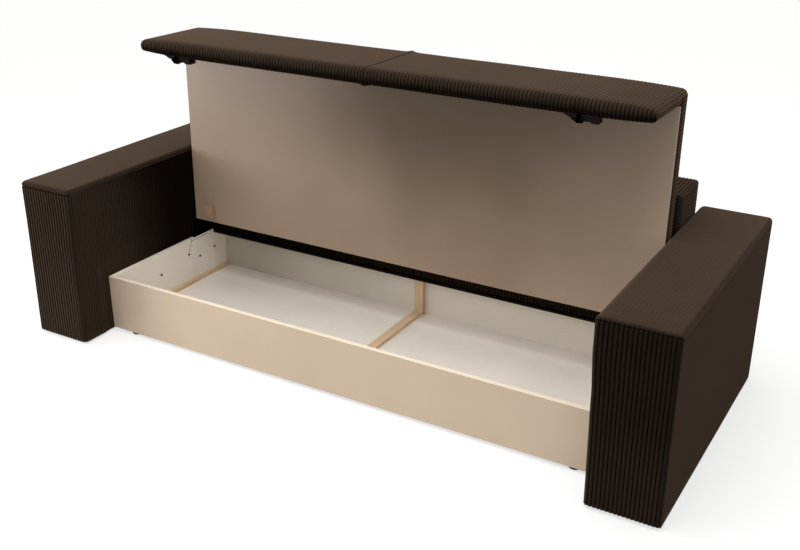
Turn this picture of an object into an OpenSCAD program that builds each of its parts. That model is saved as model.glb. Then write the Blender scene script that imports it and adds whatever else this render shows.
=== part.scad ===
// Storage sofa with two box arms, a fixed backrest, an open storage box between the arms,
// and a padded seat with a front apron that slides forward and lifts up.
// The seat is drawn raised, standing in front of the backrest.
// The origin is the middle of the footprint on the floor. The front faces -Y, and +Z is up.

/* [Overall] */
// Width over both arms
sofa_w = 2400; // [2000:10:2800]
// Depth of the arms from front to back
sofa_d = 1010; // [980:5:1100]

/* [Arms] */
// Width of one arm
arm_w = 225; // [160:1:320]
// Height of the top of an arm above the floor
arm_h = 600; // [480:5:720]
// Thickness of the padding and fabric on an arm
arm_pad_t = 9; // [6:1:14]
// Radius of the padded edges of an arm
arm_edge_r = 14; // [6:1:18]
// Thickness of the boards of the arms and of the box
board_t = 16; // [12:1:20]
// Side of the square pine blocks in the corners of an arm
block_w = 40; // [25:1:50]
// Height of the pine blocks in the corners of an arm
block_h = 120; // [60:5:200]
// Thickness of the cloth lining under an arm
lining_t = 1; // [0.8:0.1:2]
// Height of a plastic glide under an arm
glide_h = 8; // [8:1:30]
// Radius of a plastic glide under an arm
glide_r = 15; // [8:1:18]
// Distance of a glide's centre from the faces of its arm
glide_inset = 32; // [28:1:40]

/* [Storage box] */
// Distance of the box front behind the front of the arms
box_setback = 157; // [120:1:180]
// Distance of the rear of the box in front of the rear of the arms
box_rear_setback = 179; // [150:1:190]
// Height of the front and side walls of the box above the floor
box_top = 220; // [180:1:260]
// Height of a foot under the box
foot_h = 12; // [8:1:20]
// Radius of a foot under the box
foot_r = 20; // [12:1:24]
// Distance of the feet at both ends of the box from the arms
foot_end_inset = 95; // [60:5:400]
// Distance of the middle front foot behind the other front feet
foot_mid_setback = 60; // [0:5:200]
// Thickness of the edging on top of the front wall
edging_t = 1; // [0.5:0.1:2]
// Height of the pine rails under the box floor
rail_h = 19; // [15:1:25]
// Width of the pine rails under the box floor
rail_w = 40; // [30:1:50]
// Thickness of a floor sheet
sheet_t = 3.2; // [2.5:0.1:5]
// Width of the pine battens along the side walls
side_batten_w = 14; // [10:1:40]
// Width of the pine battens at the middle of the box
mid_batten_w = 34; // [28:1:50]
// Height of the pine battens that lie on the floor
batten_h = 13; // [8:1:13]
// Thickness of the pine batten that stands against the back wall
upright_t = 18; // [12:1:24]
// Distance of the upright batten to the side of the middle
upright_shift = 8.5; // [0:0.5:20]
// Distance of the middle floor batten to the side of the middle
joint_batten_shift = 12; // [0:0.5:16]
// Radius of the shank of a box screw
screw_r = 2.5; // [2:0.1:3]
// Length of the shank of a box screw
screw_len = 38; // [30:1:40]

/* [Backrest] */
// Height of the top of the backrest above the floor
back_top = 700; // [620:5:820]
// Distance of the rear of the backrest in front of the rear of the arms
back_setback = 40; // [20:1:60]
// Thickness of the backrest at its crown
back_t = 224; // [190:1:240]
// Gap between an end of the backrest and the arm
back_end_gap = 20; // [17:0.5:26]
// Gap between the rear of the closed seat and the backrest
back_gap = 6; // [5:0.5:10]
// Crown of the backrest's front face
back_crown = 6; // [3:0.5:9]
// Thickness of the board under the backrest
base_board_t = 8; // [6:0.5:10]
// Depth of the box back wall's top below the rim of the box
base_board_drop = 15; // [14:0.5:20]
// Radius of a backrest bolt
bolt_r = 4; // [3:0.5:5]

/* [Seat] */
// Thickness of the seat at its crown, with the underside panel
seat_t = 84; // [80:1:110]
// Gap between an end of the seat and the arm
seat_end_gap = 22.5; // [21:0.5:28]
// Height of the closed seat's underside above the rim of the box
seat_rise = 33; // [32:1:50]
// Distance that the apron stands in front of the arms when the seat is closed
apron_proud = 14; // [5:1:25]
// Gap between the apron and the floor when the seat is closed
apron_floor_gap = 10; // [8:1:20]
// Thickness of the apron with its padding
apron_t = 41; // [40:1:50]
// Crown of the seat's top
seat_crown = 8; // [4:0.5:10]
// Thickness of the underside panel
base_t = 4; // [3:0.5:5]
// Height of the rails of the seat frame
frame_h = 30; // [25:1:32]
// Width of the rails of the seat frame
frame_w = 25; // [18:1:35]
// Thickness of the apron board
apron_board_t = 18; // [16:1:19]
// Angle between the closed seat and the raised seat
lift_angle = 90.7; // [60:0.1:91]

/* [Seat hinge and guide shoes] */
// Distance of the hinge pin in front of the seat's rear face
pin_inset = 27.5; // [26:0.5:30]
// Distance of the hinge pin below the crown of the seat
pin_drop = 9.5; // [8:0.5:12]
// Radius of the hinge pin
pin_r = 5; // [4:0.5:6]
// Thickness of the steel of the hinge
steel_t = 3; // [2.5:0.5:3]
// Length of a guide shoe in front of the hinge pin
shoe_front_len = 90; // [70:1:110]
// Height of a guide shoe above the rim of the box
shoe_h = 18; // [14:1:22]
// Width of a stop block under the seat
stop_w = 43; // [30:1:60]
// Length of a stop block under the seat
stop_len = 48; // [30:1:60]
// Height of a stop block under the seat
stop_h = 18; // [12:1:27]

/* [Casters] */
// Distance of the left caster wheel from the left end of the seat
caster_left_inset = 172.5; // [150:0.5:450]
// Distance of the right caster wheel from the right end of the seat
caster_right_inset = 222.5; // [150:0.5:450]
// Radius of a caster wheel
wheel_r = 13; // [10:0.5:14]
// Width of a caster wheel
wheel_w = 16; // [10:1:20]
// Radius of a caster axle
axle_r = 3; // [2:0.5:4]
// Gap between a caster wheel and the floor when the seat is closed
wheel_floor_gap = 2; // [1:0.5:4]

/* [Hidden] */
$fn = 48;

// Named clearances
fit = 0.3;
pin_fit = 0.05;
hole_fit = 0.2;
overrun = 2;

// Colours
cord_brown = [0.20, 0.15, 0.12];
lining_black = [0.05, 0.05, 0.05];
board_tan = [0.72, 0.60, 0.45];
pine = [0.80, 0.66, 0.48];
laminate = [0.80, 0.73, 0.65];
edge_cream = [0.90, 0.82, 0.72];
sheet_white = [0.88, 0.86, 0.83];
foam_cream = [0.90, 0.85, 0.65];
underside_beige = [0.62, 0.55, 0.47];
steel_grey = [0.55, 0.56, 0.58];
plastic_black = [0.06, 0.06, 0.06];

// Arms: derived places, written for the arm on the +X side
front_y = -sofa_d / 2;
arm_in_x = sofa_w / 2 - arm_w;
arm_out_x = sofa_w / 2;
arm_base_z = glide_h + lining_t;
arm_frame_lo = [arm_in_x + arm_pad_t + fit, front_y + arm_pad_t + fit, arm_base_z];
arm_frame_hi = [arm_out_x - arm_pad_t - fit, -front_y - arm_pad_t - fit, arm_h - arm_pad_t - fit];
arm_boards_top = arm_frame_hi.z - board_t;

// Box: derived places
box_front_y = front_y + box_setback;
box_in_y = box_front_y + board_t;
box_back_y = -front_y - box_rear_setback - board_t;
box_inner_d = box_back_y - box_in_y;
box_out_x = arm_in_x - fit;
box_in_x = box_out_x - board_t;
rails_top = foot_h + rail_h;
floor_top = rails_top + sheet_t;
foot_x = arm_in_x - foot_end_inset;
foot_inset = rail_w / 2;
screw_head_r = 1.9 * screw_r;
screw_head_h = screw_r;
screw_depth_shares = [0.377, 0.636, 0.737, 0.883];
screw_height_shares = [0.60, 0.727, 0.60, 0.645];

// Seat: derived places, all with the seat closed
seat_end_x = arm_in_x - seat_end_gap;
seat_front_y = front_y - apron_proud;
back_rear_y = -front_y - back_setback;
back_front_y = back_rear_y - back_t;
seat_rear_y = back_front_y - back_gap;
seat_base_z = box_top + seat_rise;
seat_pad_z = seat_base_z + base_t;
seat_top_z = seat_base_z + seat_t;
seat_frame_top = seat_pad_z + frame_h;
apron_rear_y = seat_front_y + apron_t;
apron_wrap_t = 3;
apron_board_rear = apron_rear_y - apron_wrap_t;
apron_board_front = apron_board_rear - apron_board_t;
apron_bottom_z = apron_floor_gap;
apron_bottom_r = 14;
apron_corner_r = 18;
seat_side_pad = 22.5;
seat_rear_pad = 14;
seat_top_pad = 25;
seat_cavity_x = seat_end_x - seat_side_pad;
seat_cavity_rear = seat_rear_y - seat_rear_pad;
seat_cavity_top = seat_top_z - seat_top_pad;
seat_edge_r = 38;
seat_end_r = 45;
seat_plan_r = 12;
seat_heel_r = 3;
cross_rail_shares = [-0.5, 0, 0.5];
stop_side_inset = 56.5;
stop_rear_inset = 23;
stop_out_x = seat_end_x - stop_side_inset;
stop_rear_y = seat_rear_y - stop_rear_inset;

// Hinge: derived places, written for the hinge on the +X side
pin_y = seat_rear_y - pin_inset;
pin_z = seat_top_z - pin_drop;
lug_wall = 9;
lug_r = pin_r + lug_wall;
plate_in_x = seat_end_x + fit;
plate_out_x = plate_in_x + steel_t;
plate_foot_h = 24;
plate_foot_w = 64;
plate_foot_shift = 18;
plate_screw_pitch = 44;
plate_screw_z = seat_pad_z + frame_h / 2;
plate_screw_len = 38;
plate_screw_r = 2;
plate_screw_head_r = 4;
plate_screw_head_h = 1.5;
bracket_in_x = box_in_x + fit;
bracket_out_x = bracket_in_x + steel_t;
pin_head_r = 9;
pin_head_h = 3;
shoe_back = 25;
shoe_in_x = bracket_in_x;
shoe_out_x = box_out_x - fit;
shoe_top_z = box_top + shoe_h;
shoe_front_y = pin_y - shoe_front_len;
shoe_back_y = pin_y + shoe_back;
shoe_screw_len = 12;
shoe_screw_r = 1.75;
shoe_screw_head_r = 3.5;
shoe_screw_head_h = 2;
shoe_screw_x = (bracket_out_x + shoe_out_x) / 2;
shoe_screw_shares = [0.2, 0.8];
shoe_screw_ys = [for (s = shoe_screw_shares) shoe_front_y + s * shoe_front_len];

// Backrest: derived places
back_end_x = arm_in_x - back_end_gap;
base_board_front = back_front_y - back_gap;
base_board_bottom = box_top - base_board_drop;
base_board_top = base_board_bottom + base_board_t;
back_bottom_z = base_board_top + fit;
back_side_pad = 25;
back_front_pad = 20;
back_rear_pad = 8;
back_top_pad = 20;
back_cavity_x = back_end_x - back_side_pad;
back_cavity_front = back_front_y + back_front_pad;
back_cavity_rear = back_rear_y - back_rear_pad;
back_cavity_top = back_top - back_top_pad;
back_foam_t = 80;
back_frame_front = back_cavity_front + back_foam_t;
back_edge_r = 25;
back_end_r = 30;
back_plan_r = 14;
back_heel_r = 12;
back_rail_h = 26;
bolt_head_r = 1.75 * bolt_r;
bolt_head_h = 1.3 * bolt_r;
bolt_tip = 5;
bolt_in_x = back_cavity_x - board_t - bolt_tip;
bolt_head_x = arm_frame_lo.x + board_t;
bolt_depth_shares = [0.25, 0.75];
bolt_height_shares = [0.2, 0.66];
spacer_r = 12;

// Casters: derived places, with the seat closed
caster_left_x = seat_end_x - caster_left_inset;
caster_right_x = seat_end_x - caster_right_inset;
wheel_gap = 1.5;
caster_axis_y = apron_rear_y + wheel_r + wheel_gap;
caster_axis_z = wheel_floor_gap + wheel_r;
cheek_t = 3;
cheek_gap = 0.5;
cheek_in = wheel_w / 2 + cheek_gap;
cheek_out = cheek_in + cheek_t;
cheek_r = 0.75 * wheel_r;
housing_plate_t = 3;
housing_len = 34;
housing_bottom_z = apron_bottom_z + apron_bottom_r / 4;
housing_top_z = housing_bottom_z + housing_len;
housing_left = 56;
housing_right = 58;
housing_block_w = 22;
housing_notch = 4;
housing_depth = 24;
housing_rear_y = apron_rear_y + housing_depth;

// Steps of the padded forms
end_steps = 6;
edge_steps = 4;
crown_steps = 8;
span_shares = [0.3, 0.55, 0.8];
seam_w = 20;
seam_d = 4;
seam_shares = [0.15, 0.45, 1];

// A box between two corners
module cuboid(lo, hi) {
    translate(lo) cube(hi - lo);
}

// The children and their mirror image on the other side of the sofa
module both_sides() {
    children();
    mirror([1, 0, 0]) children();
}

// The children turned from the closed seat to the raised seat
module raised() {
    translate([0, pin_y, pin_z]) rotate([-lift_angle, 0, 0]) translate([0, -pin_y, -pin_z])
        children();
}

// A cylinder along X between two places, at one height and depth
module rod_x(x0, x1, y, z, r) {
    translate([x0, y, z]) rotate([0, 90, 0]) cylinder(h = x1 - x0, r = r);
}

// A rectangle with round corners, its first corner at the origin
module round_rect(w, h, r) {
    translate([r, 0]) square([w - 2 * r, h]);
    translate([0, r]) square([w, h - 2 * r]);
    for (u = [r, w - r], v = [r, h - r]) translate([u, v]) circle(r);
}

// A block whose upright edges have the radius plan_r and whose upper edges have the radius r
module round_top_block(lo, hi, r, plan_r) {
    w = hi.x - lo.x;
    d = hi.y - lo.y;
    h = hi.z - lo.z;
    intersection() {
        translate(lo) linear_extrude(h) round_rect(w, d, plan_r);
        translate([lo.x, hi.y, lo.z - r]) rotate([90, 0, 0]) linear_extrude(d)
            round_rect(w, h + r, r);
        translate([lo.x, lo.y, lo.z - r]) rotate([90, 0, 90]) linear_extrude(w)
            round_rect(d, h + r, r);
    }
}

// How far a quarter round of radius r has fallen at a distance into it
function round_fall(into, r) = r * (1 - sqrt(1 - pow(min(max(into, 0), r) / r, 2)));

// Places along a padded form: both ends, the spans and the middle seam
function pad_stations(half, end_r) = let (
    tip = [for (i = [0:end_steps]) half - end_r + end_r * sin(90 * i / end_steps)],
    span = [for (s = span_shares) s * (half - end_r)],
    seam = [for (s = seam_shares) s * seam_w],
    out = concat(seam, span, tip),
    n = len(out)
) concat([for (i = [n - 1:-1:0]) -out[i]], [0], out);

// The closed outline of a padded form at one place x: heel, front edge, crown, rear edge, heel
function pad_outline(x, half, lo, hi, crown, edge_r, heel_r, end_r, plan_r) = let (
    into = abs(x) - half,
    in_y = round_fall(into + plan_r, plan_r),
    seam = seam_d * pow(max(0, 1 - abs(x) / seam_w), 2),
    y0 = lo.x + in_y,
    y1 = hi.x - in_y,
    edge_z = hi.y - crown - round_fall(into + end_r, end_r) * 0.9 - seam,
    swell = crown * (1 - pow(abs(x) / half, 4)),
    r = min(edge_r, edge_z - lo.y - heel_r)
) concat(
    [for (a = [0, 45, 90]) [y0 + heel_r - heel_r * sin(a), lo.y + heel_r - heel_r * cos(a)]],
    [for (i = [0:edge_steps]) let (a = 90 * i / edge_steps)
        [y0 + r - r * cos(a), edge_z - r + r * sin(a)]],
    [for (i = [1:crown_steps - 1]) let (v = i / crown_steps)
        [y0 + r + v * (y1 - y0 - 2 * r), edge_z + swell * (1 - pow(2 * v - 1, 2))]],
    [for (i = [0:edge_steps]) let (a = 90 * i / edge_steps)
        [y1 - r + r * sin(a), edge_z - r + r * cos(a)]],
    [for (a = [90, 45, 0]) [y1 - heel_r + heel_r * sin(a), lo.y + heel_r - heel_r * cos(a)]]
);

// A padded form along X: lo and hi are its [y, z] corners, and the crown is on its upper face
module pad_form(half, lo, hi, crown, edge_r, heel_r, end_r, plan_r) {
    places = pad_stations(half, end_r);
    outlines = [for (x = places) pad_outline(x, half, lo, hi, crown, edge_r, heel_r, end_r, plan_r)];
    m = len(outlines[0]);
    last = len(places) - 1;
    points = [for (i = [0:last], q = outlines[i]) [places[i], q.x, q.y]];
    skin = [for (i = [0:last - 1], k = [0:m - 1], t = [0, 1]) let (
        a = i * m + k,
        b = i * m + (k + 1) % m
    ) t == 0 ? [a, b, b + m] : [a, b + m, a + m]];
    near_cap = [for (k = [1:m - 2]) [0, k + 1, k]];
    far_cap = [for (k = [1:m - 2]) [last * m, last * m + k, last * m + k + 1]];
    polyhedron(points = points, faces = concat(skin, near_cap, far_cap), convexity = 4);
}

// Places of the screws that hold the box to the arm on the +X side, as [y, z]
box_screw_places = [for (i = [0:len(screw_depth_shares) - 1])
    [box_in_y + screw_depth_shares[i] * box_inner_d, screw_height_shares[i] * box_top]];

// Places of the bolts that hold the backrest to the arm on the +X side, as [y, z]
bolt_places = [for (u = bolt_depth_shares, v = bolt_height_shares) [
    back_frame_front + u * (back_cavity_rear - back_frame_front),
    back_bottom_z + v * (back_cavity_top - back_bottom_z)
]];

// Holes for the box screws through the box wall and the arm
module box_screw_holes() {
    for (p = box_screw_places)
        rod_x(box_in_x - overrun, box_in_x + screw_len + overrun, p.x, p.y, screw_r + hole_fit);
}

// Holes for the backrest bolts
module bolt_holes() {
    for (p = bolt_places) rod_x(bolt_in_x - overrun, bolt_head_x + overrun, p.x, p.y, bolt_r + hole_fit);
}

// Padded fabric cover of an arm
module arm_cover() {
    color(cord_brown) difference() {
        round_top_block([arm_in_x, front_y, arm_base_z], [arm_out_x, -front_y, arm_h],
            arm_edge_r, arm_edge_r);
        cuboid(arm_frame_lo - [fit, fit, overrun], arm_frame_hi + [fit, fit, fit]);
        box_screw_holes();
        bolt_holes();
    }
}

// Board of an arm on the seat side
module arm_inner_board() {
    color(board_tan) difference() {
        cuboid(arm_frame_lo, [arm_frame_lo.x + board_t, arm_frame_hi.y, arm_boards_top]);
        box_screw_holes();
        bolt_holes();
    }
}

// Board of an arm on the outside
module arm_outer_board() {
    color(board_tan) cuboid([arm_frame_hi.x - board_t, arm_frame_lo.y, arm_frame_lo.z],
        [arm_frame_hi.x, arm_frame_hi.y, arm_boards_top]);
}

// Front and rear boards of an arm
module arm_end_boards() {
    for (y = [arm_frame_lo.y, arm_frame_hi.y - board_t])
        color(board_tan) cuboid([arm_frame_lo.x + board_t, y, arm_frame_lo.z],
            [arm_frame_hi.x - board_t, y + board_t, arm_boards_top]);
}

// Board under the padding on top of an arm
module arm_top_board() {
    color(board_tan) cuboid([arm_frame_lo.x, arm_frame_lo.y, arm_boards_top], arm_frame_hi);
}

// Pine blocks in the lower corners of an arm, which hold the glides
module arm_corner_blocks() {
    x0 = arm_frame_lo.x + board_t;
    x1 = arm_frame_hi.x - board_t - block_w;
    y0 = arm_frame_lo.y + board_t;
    y1 = arm_frame_hi.y - board_t - block_w;
    for (x = [x0, x1], y = [y0, y1])
        color(pine) translate([x, y, arm_frame_lo.z]) cube([block_w, block_w, block_h]);
}

// Cloth linings that close the arms from below
module arm_linings() {
    both_sides() color(lining_black)
        cuboid([arm_frame_lo.x, arm_frame_lo.y, glide_h], [arm_frame_hi.x, arm_frame_hi.y, arm_base_z]);
}

// Plastic glides under both arms, each with a chamfered foot
module arm_glides() {
    chamfer = glide_r / 8;
    xs = [arm_in_x + glide_inset, arm_out_x - glide_inset];
    ys = [front_y + glide_inset, -front_y - glide_inset];
    both_sides() for (x = xs, y = ys) color(plastic_black) translate([x, y, 0]) {
        cylinder(h = chamfer, r1 = glide_r - chamfer, r2 = glide_r);
        translate([0, 0, chamfer]) cylinder(h = glide_h - chamfer, r = glide_r);
    }
}

// Front wall of the storage box
module box_front_panel() {
    color(laminate) cuboid([-box_out_x, box_front_y, foot_h], [box_out_x, box_in_y, box_top - edging_t]);
}

// Edging strip on top of the front wall
module box_front_edging() {
    color(edge_cream) cuboid([-box_out_x, box_front_y, box_top - edging_t], [box_out_x, box_in_y, box_top]);
}

// Side wall of the storage box, screwed to the arm, with a step at its rear for the board above it
module box_side_panel() {
    color(sheet_white) difference() {
        cuboid([box_in_x, box_in_y, foot_h], [box_out_x, box_back_y + board_t, box_top]);
        box_screw_holes();
        cuboid([box_in_x - overrun, base_board_front, base_board_bottom],
            [box_out_x + overrun, box_back_y + board_t + overrun, box_top + overrun]);
    }
}

// Back wall of the storage box, which carries the backrest
module box_back_panel() {
    color(sheet_white) cuboid([-box_in_x, box_back_y, foot_h],
        [box_in_x, box_back_y + board_t, base_board_bottom]);
}

// Pine rails under the box floor: front, rear, middle and both ends
module box_floor_rails() {
    y0 = box_in_y + rail_w;
    y1 = box_back_y - rail_w;
    for (y = [box_in_y, y1])
        color(pine) cuboid([-box_in_x, y, foot_h], [box_in_x, y + rail_w, rails_top]);
    for (x = [-box_in_x, -rail_w / 2, box_in_x - rail_w])
        color(pine) cuboid([x, y0 + fit, foot_h], [x + rail_w, y1 - fit, rails_top]);
}

// One half of the box floor, on the +X side
module box_floor_sheet() {
    color(sheet_white) cuboid([fit, box_in_y, rails_top], [box_in_x, box_back_y, floor_top]);
}

// Pine batten on the floor along a side wall
module floor_side_batten() {
    color(pine) cuboid([box_in_x - side_batten_w, box_in_y, floor_top],
        [box_in_x, box_back_y, floor_top + batten_h]);
}

// Pine batten over the joint of the two floor sheets
module floor_batten_centre() {
    color(pine) translate([-joint_batten_shift - mid_batten_w / 2, box_in_y, floor_top])
        cube([mid_batten_w, box_back_y - upright_t - box_in_y, batten_h]);
}

// Pine batten that stands against the back wall
module back_wall_batten() {
    color(pine) translate([-upright_shift - mid_batten_w / 2, box_back_y - upright_t, floor_top])
        cube([mid_batten_w, upright_t, base_board_bottom - floor_top]);
}

// Round feet under the box
module box_feet() {
    chamfer = foot_r / 10;
    front_y = box_in_y + foot_inset / 2;
    for (x = [-foot_x, 0, foot_x],
        y = [x == 0 ? front_y + foot_mid_setback : front_y, box_back_y - foot_inset])
        color(plastic_black) translate([x, y, 0]) {
            cylinder(h = chamfer, r1 = foot_r - chamfer, r2 = foot_r);
            translate([0, 0, chamfer]) cylinder(h = foot_h - chamfer, r = foot_r);
        }
}

// Screws that hold the box walls to the arms
module box_screws() {
    both_sides() for (p = box_screw_places) color(steel_grey) {
        rod_x(box_in_x - screw_head_h, box_in_x, p.x, p.y, screw_head_r);
        rod_x(box_in_x - screw_head_h, box_in_x + screw_len, p.x, p.y, screw_r);
    }
}

// The space that the padded cover of the backrest leaves for its foam and frame
module backrest_cavity(gap) {
    cuboid([-back_cavity_x - gap, back_cavity_front - gap, back_bottom_z - overrun],
        [back_cavity_x + gap, back_cavity_rear + gap, back_cavity_top + gap]);
}

// Padded fabric cover of the backrest, crowned at the front
module backrest_cover() {
    color(cord_brown) difference() {
        rotate([90, 0, 0]) pad_form(back_end_x, [back_bottom_z, -back_rear_y], [back_top, -back_front_y],
            back_crown, back_edge_r, back_heel_r, back_end_r, back_plan_r);
        backrest_cavity(fit);
        both_sides() bolt_holes();
    }
}

// Foam block in the front of the backrest
module backrest_foam() {
    color(foam_cream) cuboid([-back_cavity_x, back_cavity_front, back_bottom_z],
        [back_cavity_x, back_frame_front, back_cavity_top]);
}

// End boards of the backrest frame, which take the bolts
module backrest_end_boards() {
    both_sides() color(board_tan) difference() {
        cuboid([back_cavity_x - board_t, back_frame_front, back_bottom_z],
            [back_cavity_x, back_cavity_rear, back_cavity_top]);
        bolt_holes();
    }
}

// Upper, middle and lower rails of the backrest frame
module backrest_rails() {
    x = back_cavity_x - board_t;
    mid_z = (back_bottom_z + back_cavity_top - back_rail_h) / 2;
    for (z = [back_bottom_z, mid_z, back_cavity_top - back_rail_h])
        color(pine) cuboid([-x, back_frame_front, z], [x, back_cavity_rear, z + back_rail_h]);
}

// Cloth-lined board under the backrest, which stands on the back and side walls of the box
module backrest_base_board() {
    color(cord_brown) cuboid([-box_out_x, base_board_front, base_board_bottom],
        [box_out_x, back_rear_y - back_heel_r, base_board_top]);
}

// Spacer tubes between the backrest and the arms
module backrest_spacers() {
    both_sides() for (p = bolt_places) color(steel_grey) difference() {
        rod_x(back_end_x + fit, arm_in_x - fit, p.x, p.y, spacer_r);
        rod_x(back_end_x - overrun, arm_in_x + overrun, p.x, p.y, bolt_r + hole_fit);
    }
}

// Bolts through the arms, the spacers and the end boards of the backrest
module backrest_bolts() {
    both_sides() for (p = bolt_places) color(steel_grey) {
        rod_x(bolt_in_x, bolt_head_x + bolt_head_h, p.x, p.y, bolt_r);
        rod_x(bolt_head_x, bolt_head_x + bolt_head_h, p.x, p.y, bolt_head_r);
    }
}

// Laminated panel under the seat
module seat_base_panel() {
    color(underside_beige) raised()
        cuboid([-seat_end_x, apron_rear_y, seat_base_z], [seat_end_x, seat_rear_y, seat_pad_z]);
}

// Holes for the screws of the seat hinge plates
module plate_screw_holes() {
    for (s = [-1, 1])
        rod_x(plate_out_x - plate_screw_len - overrun, plate_out_x + overrun,
            pin_y - plate_foot_shift + s * plate_screw_pitch / 2, plate_screw_z,
            plate_screw_r + hole_fit);
}

// Front and rear rails of the seat frame
module seat_long_rails() {
    color(pine) raised() difference() {
        for (y = [apron_board_rear, seat_cavity_rear - frame_w])
            cuboid([-seat_cavity_x, y, seat_pad_z], [seat_cavity_x, y + frame_w, seat_frame_top]);
        both_sides() plate_screw_holes();
    }
}

// Cross rails of the seat frame: both ends and between them
module seat_cross_rails() {
    y0 = apron_board_rear + frame_w;
    y1 = seat_cavity_rear - frame_w;
    color(pine) raised() difference() {
        for (x = concat([-seat_cavity_x, seat_cavity_x - frame_w],
            [for (s = cross_rail_shares) s * seat_cavity_x - frame_w / 2]))
            cuboid([x, y0, seat_pad_z], [x + frame_w, y1, seat_frame_top]);
        both_sides() plate_screw_holes();
    }
}

// Foam block of the seat
module seat_foam() {
    color(foam_cream) raised()
        cuboid([-seat_cavity_x, apron_board_front, seat_frame_top],
            [seat_cavity_x, seat_cavity_rear, seat_cavity_top]);
}

// Padded fabric cover of the seat, crowned, with a drawn-in seam at the middle
module seat_cover() {
    color(cord_brown) raised() difference() {
        pad_form(seat_end_x, [seat_front_y, seat_pad_z], [seat_rear_y, seat_top_z],
            seat_crown, seat_edge_r, seat_heel_r, seat_end_r, seat_plan_r);
        cuboid([-seat_cavity_x - fit, apron_board_front - fit, seat_pad_z - overrun],
            [seat_cavity_x + fit, seat_cavity_rear + fit, seat_cavity_top + fit]);
        both_sides() plate_screw_holes();
    }
}

// Board that stiffens the apron and is fixed to the front rail of the seat
module apron_board() {
    color(board_tan) raised()
        cuboid([-seat_cavity_x, apron_board_front, apron_bottom_z + apron_bottom_r],
            [seat_cavity_x, apron_board_rear, seat_frame_top]);
}

// Padded fabric cover of the apron
module apron_cover() {
    h = seat_pad_z - apron_bottom_z;
    w = 2 * seat_end_x;
    color(cord_brown) raised() difference() {
        intersection() {
            translate([-seat_end_x, seat_front_y, apron_bottom_z]) linear_extrude(h)
                round_rect(w, apron_t, seat_plan_r);
            translate([-seat_end_x, apron_rear_y, apron_bottom_z]) rotate([90, 0, 0])
                linear_extrude(apron_t) round_rect(w, h + apron_corner_r, apron_corner_r);
            translate([-seat_end_x, seat_front_y, apron_bottom_z]) rotate([90, 0, 90])
                linear_extrude(w) round_rect(apron_t, h + apron_bottom_r, apron_bottom_r);
        }
        cuboid([-seat_cavity_x - fit, apron_board_front - fit, apron_bottom_z + apron_bottom_r - fit],
            [seat_cavity_x + fit, apron_board_rear + fit, seat_pad_z + overrun]);
    }
}

// Wooden blocks on the underside of the seat, near its rear corners
module seat_stop_blocks() {
    both_sides() color(pine) raised()
        cuboid([stop_out_x - stop_w, stop_rear_y - stop_len, seat_base_z - stop_h],
            [stop_out_x, stop_rear_y, seat_base_z]);
}

// Steel plate on each end of the seat, with the bore for the hinge pin
module seat_hinge_plates() {
    foot_mid = pin_y - plate_foot_shift;
    both_sides() color(steel_grey) raised() difference() {
        union() {
            rod_x(plate_in_x, plate_out_x, pin_y, pin_z, lug_r);
            translate([plate_in_x, 0, 0]) rotate([90, 0, 90]) linear_extrude(steel_t) polygon([
                [pin_y + lug_r, pin_z],
                [pin_y - lug_r, pin_z],
                [foot_mid - plate_foot_w / 2, plate_screw_z + plate_foot_h / 2],
                [foot_mid - plate_foot_w / 2, plate_screw_z - plate_foot_h / 2],
                [pin_y + lug_r, plate_screw_z - plate_foot_h / 2]
            ]);
        }
        rod_x(plate_in_x - overrun, plate_out_x + overrun, pin_y, pin_z, pin_r + pin_fit);
        plate_screw_holes();
    }
}

// Screws that hold the hinge plates to the end rails of the seat
module seat_hinge_screws() {
    both_sides() for (s = [-1, 1]) color(steel_grey) raised() {
        y = pin_y - plate_foot_shift + s * plate_screw_pitch / 2;
        rod_x(plate_out_x, plate_out_x + plate_screw_head_h, y, plate_screw_z, plate_screw_head_r);
        rod_x(plate_out_x - plate_screw_len, plate_out_x + plate_screw_head_h, y, plate_screw_z,
            plate_screw_r);
    }
}

// Pin of each hinge, fixed in its bracket and turning in the seat's plate
module hinge_pins() {
    both_sides() color(steel_grey) {
        rod_x(plate_in_x - fit - pin_head_h, plate_in_x - fit, pin_y, pin_z, pin_head_r);
        rod_x(plate_in_x - fit - pin_head_h, bracket_out_x, pin_y, pin_z, pin_r);
    }
}

// Steel bracket that carries each hinge pin and stands on its guide shoe
module shoe_brackets() {
    both_sides() color(steel_grey) difference() {
        union() {
            rod_x(bracket_in_x, bracket_out_x, pin_y, pin_z, lug_r);
            translate([bracket_in_x, 0, 0]) rotate([90, 0, 90]) linear_extrude(steel_t) polygon([
                [pin_y + lug_r, pin_z],
                [pin_y - lug_r, pin_z],
                [shoe_front_y, shoe_top_z + steel_t],
                [shoe_front_y, shoe_top_z],
                [pin_y + lug_r, shoe_top_z]
            ]);
            cuboid([bracket_in_x, shoe_front_y, shoe_top_z],
                [shoe_out_x, pin_y + lug_r, shoe_top_z + steel_t]);
        }
        rod_x(bracket_in_x - overrun, bracket_out_x + overrun, pin_y, pin_z, pin_r + pin_fit);
        shoe_screw_holes();
    }
}

// Holes for the screws that hold a bracket down on its shoe
module shoe_screw_holes() {
    for (y = shoe_screw_ys)
        translate([shoe_screw_x, y, shoe_top_z - shoe_screw_len - overrun])
            cylinder(h = shoe_screw_len + steel_t + 2 * overrun, r = shoe_screw_r + hole_fit);
}

// Screws that hold the brackets down on their shoes
module shoe_screws() {
    both_sides() for (y = shoe_screw_ys) color(steel_grey)
        translate([shoe_screw_x, y, shoe_top_z - shoe_screw_len]) {
            cylinder(h = shoe_screw_len + steel_t + shoe_screw_head_h, r = shoe_screw_r);
            translate([0, 0, shoe_screw_len + steel_t])
                cylinder(h = shoe_screw_head_h, r = shoe_screw_head_r);
        }
}

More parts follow.
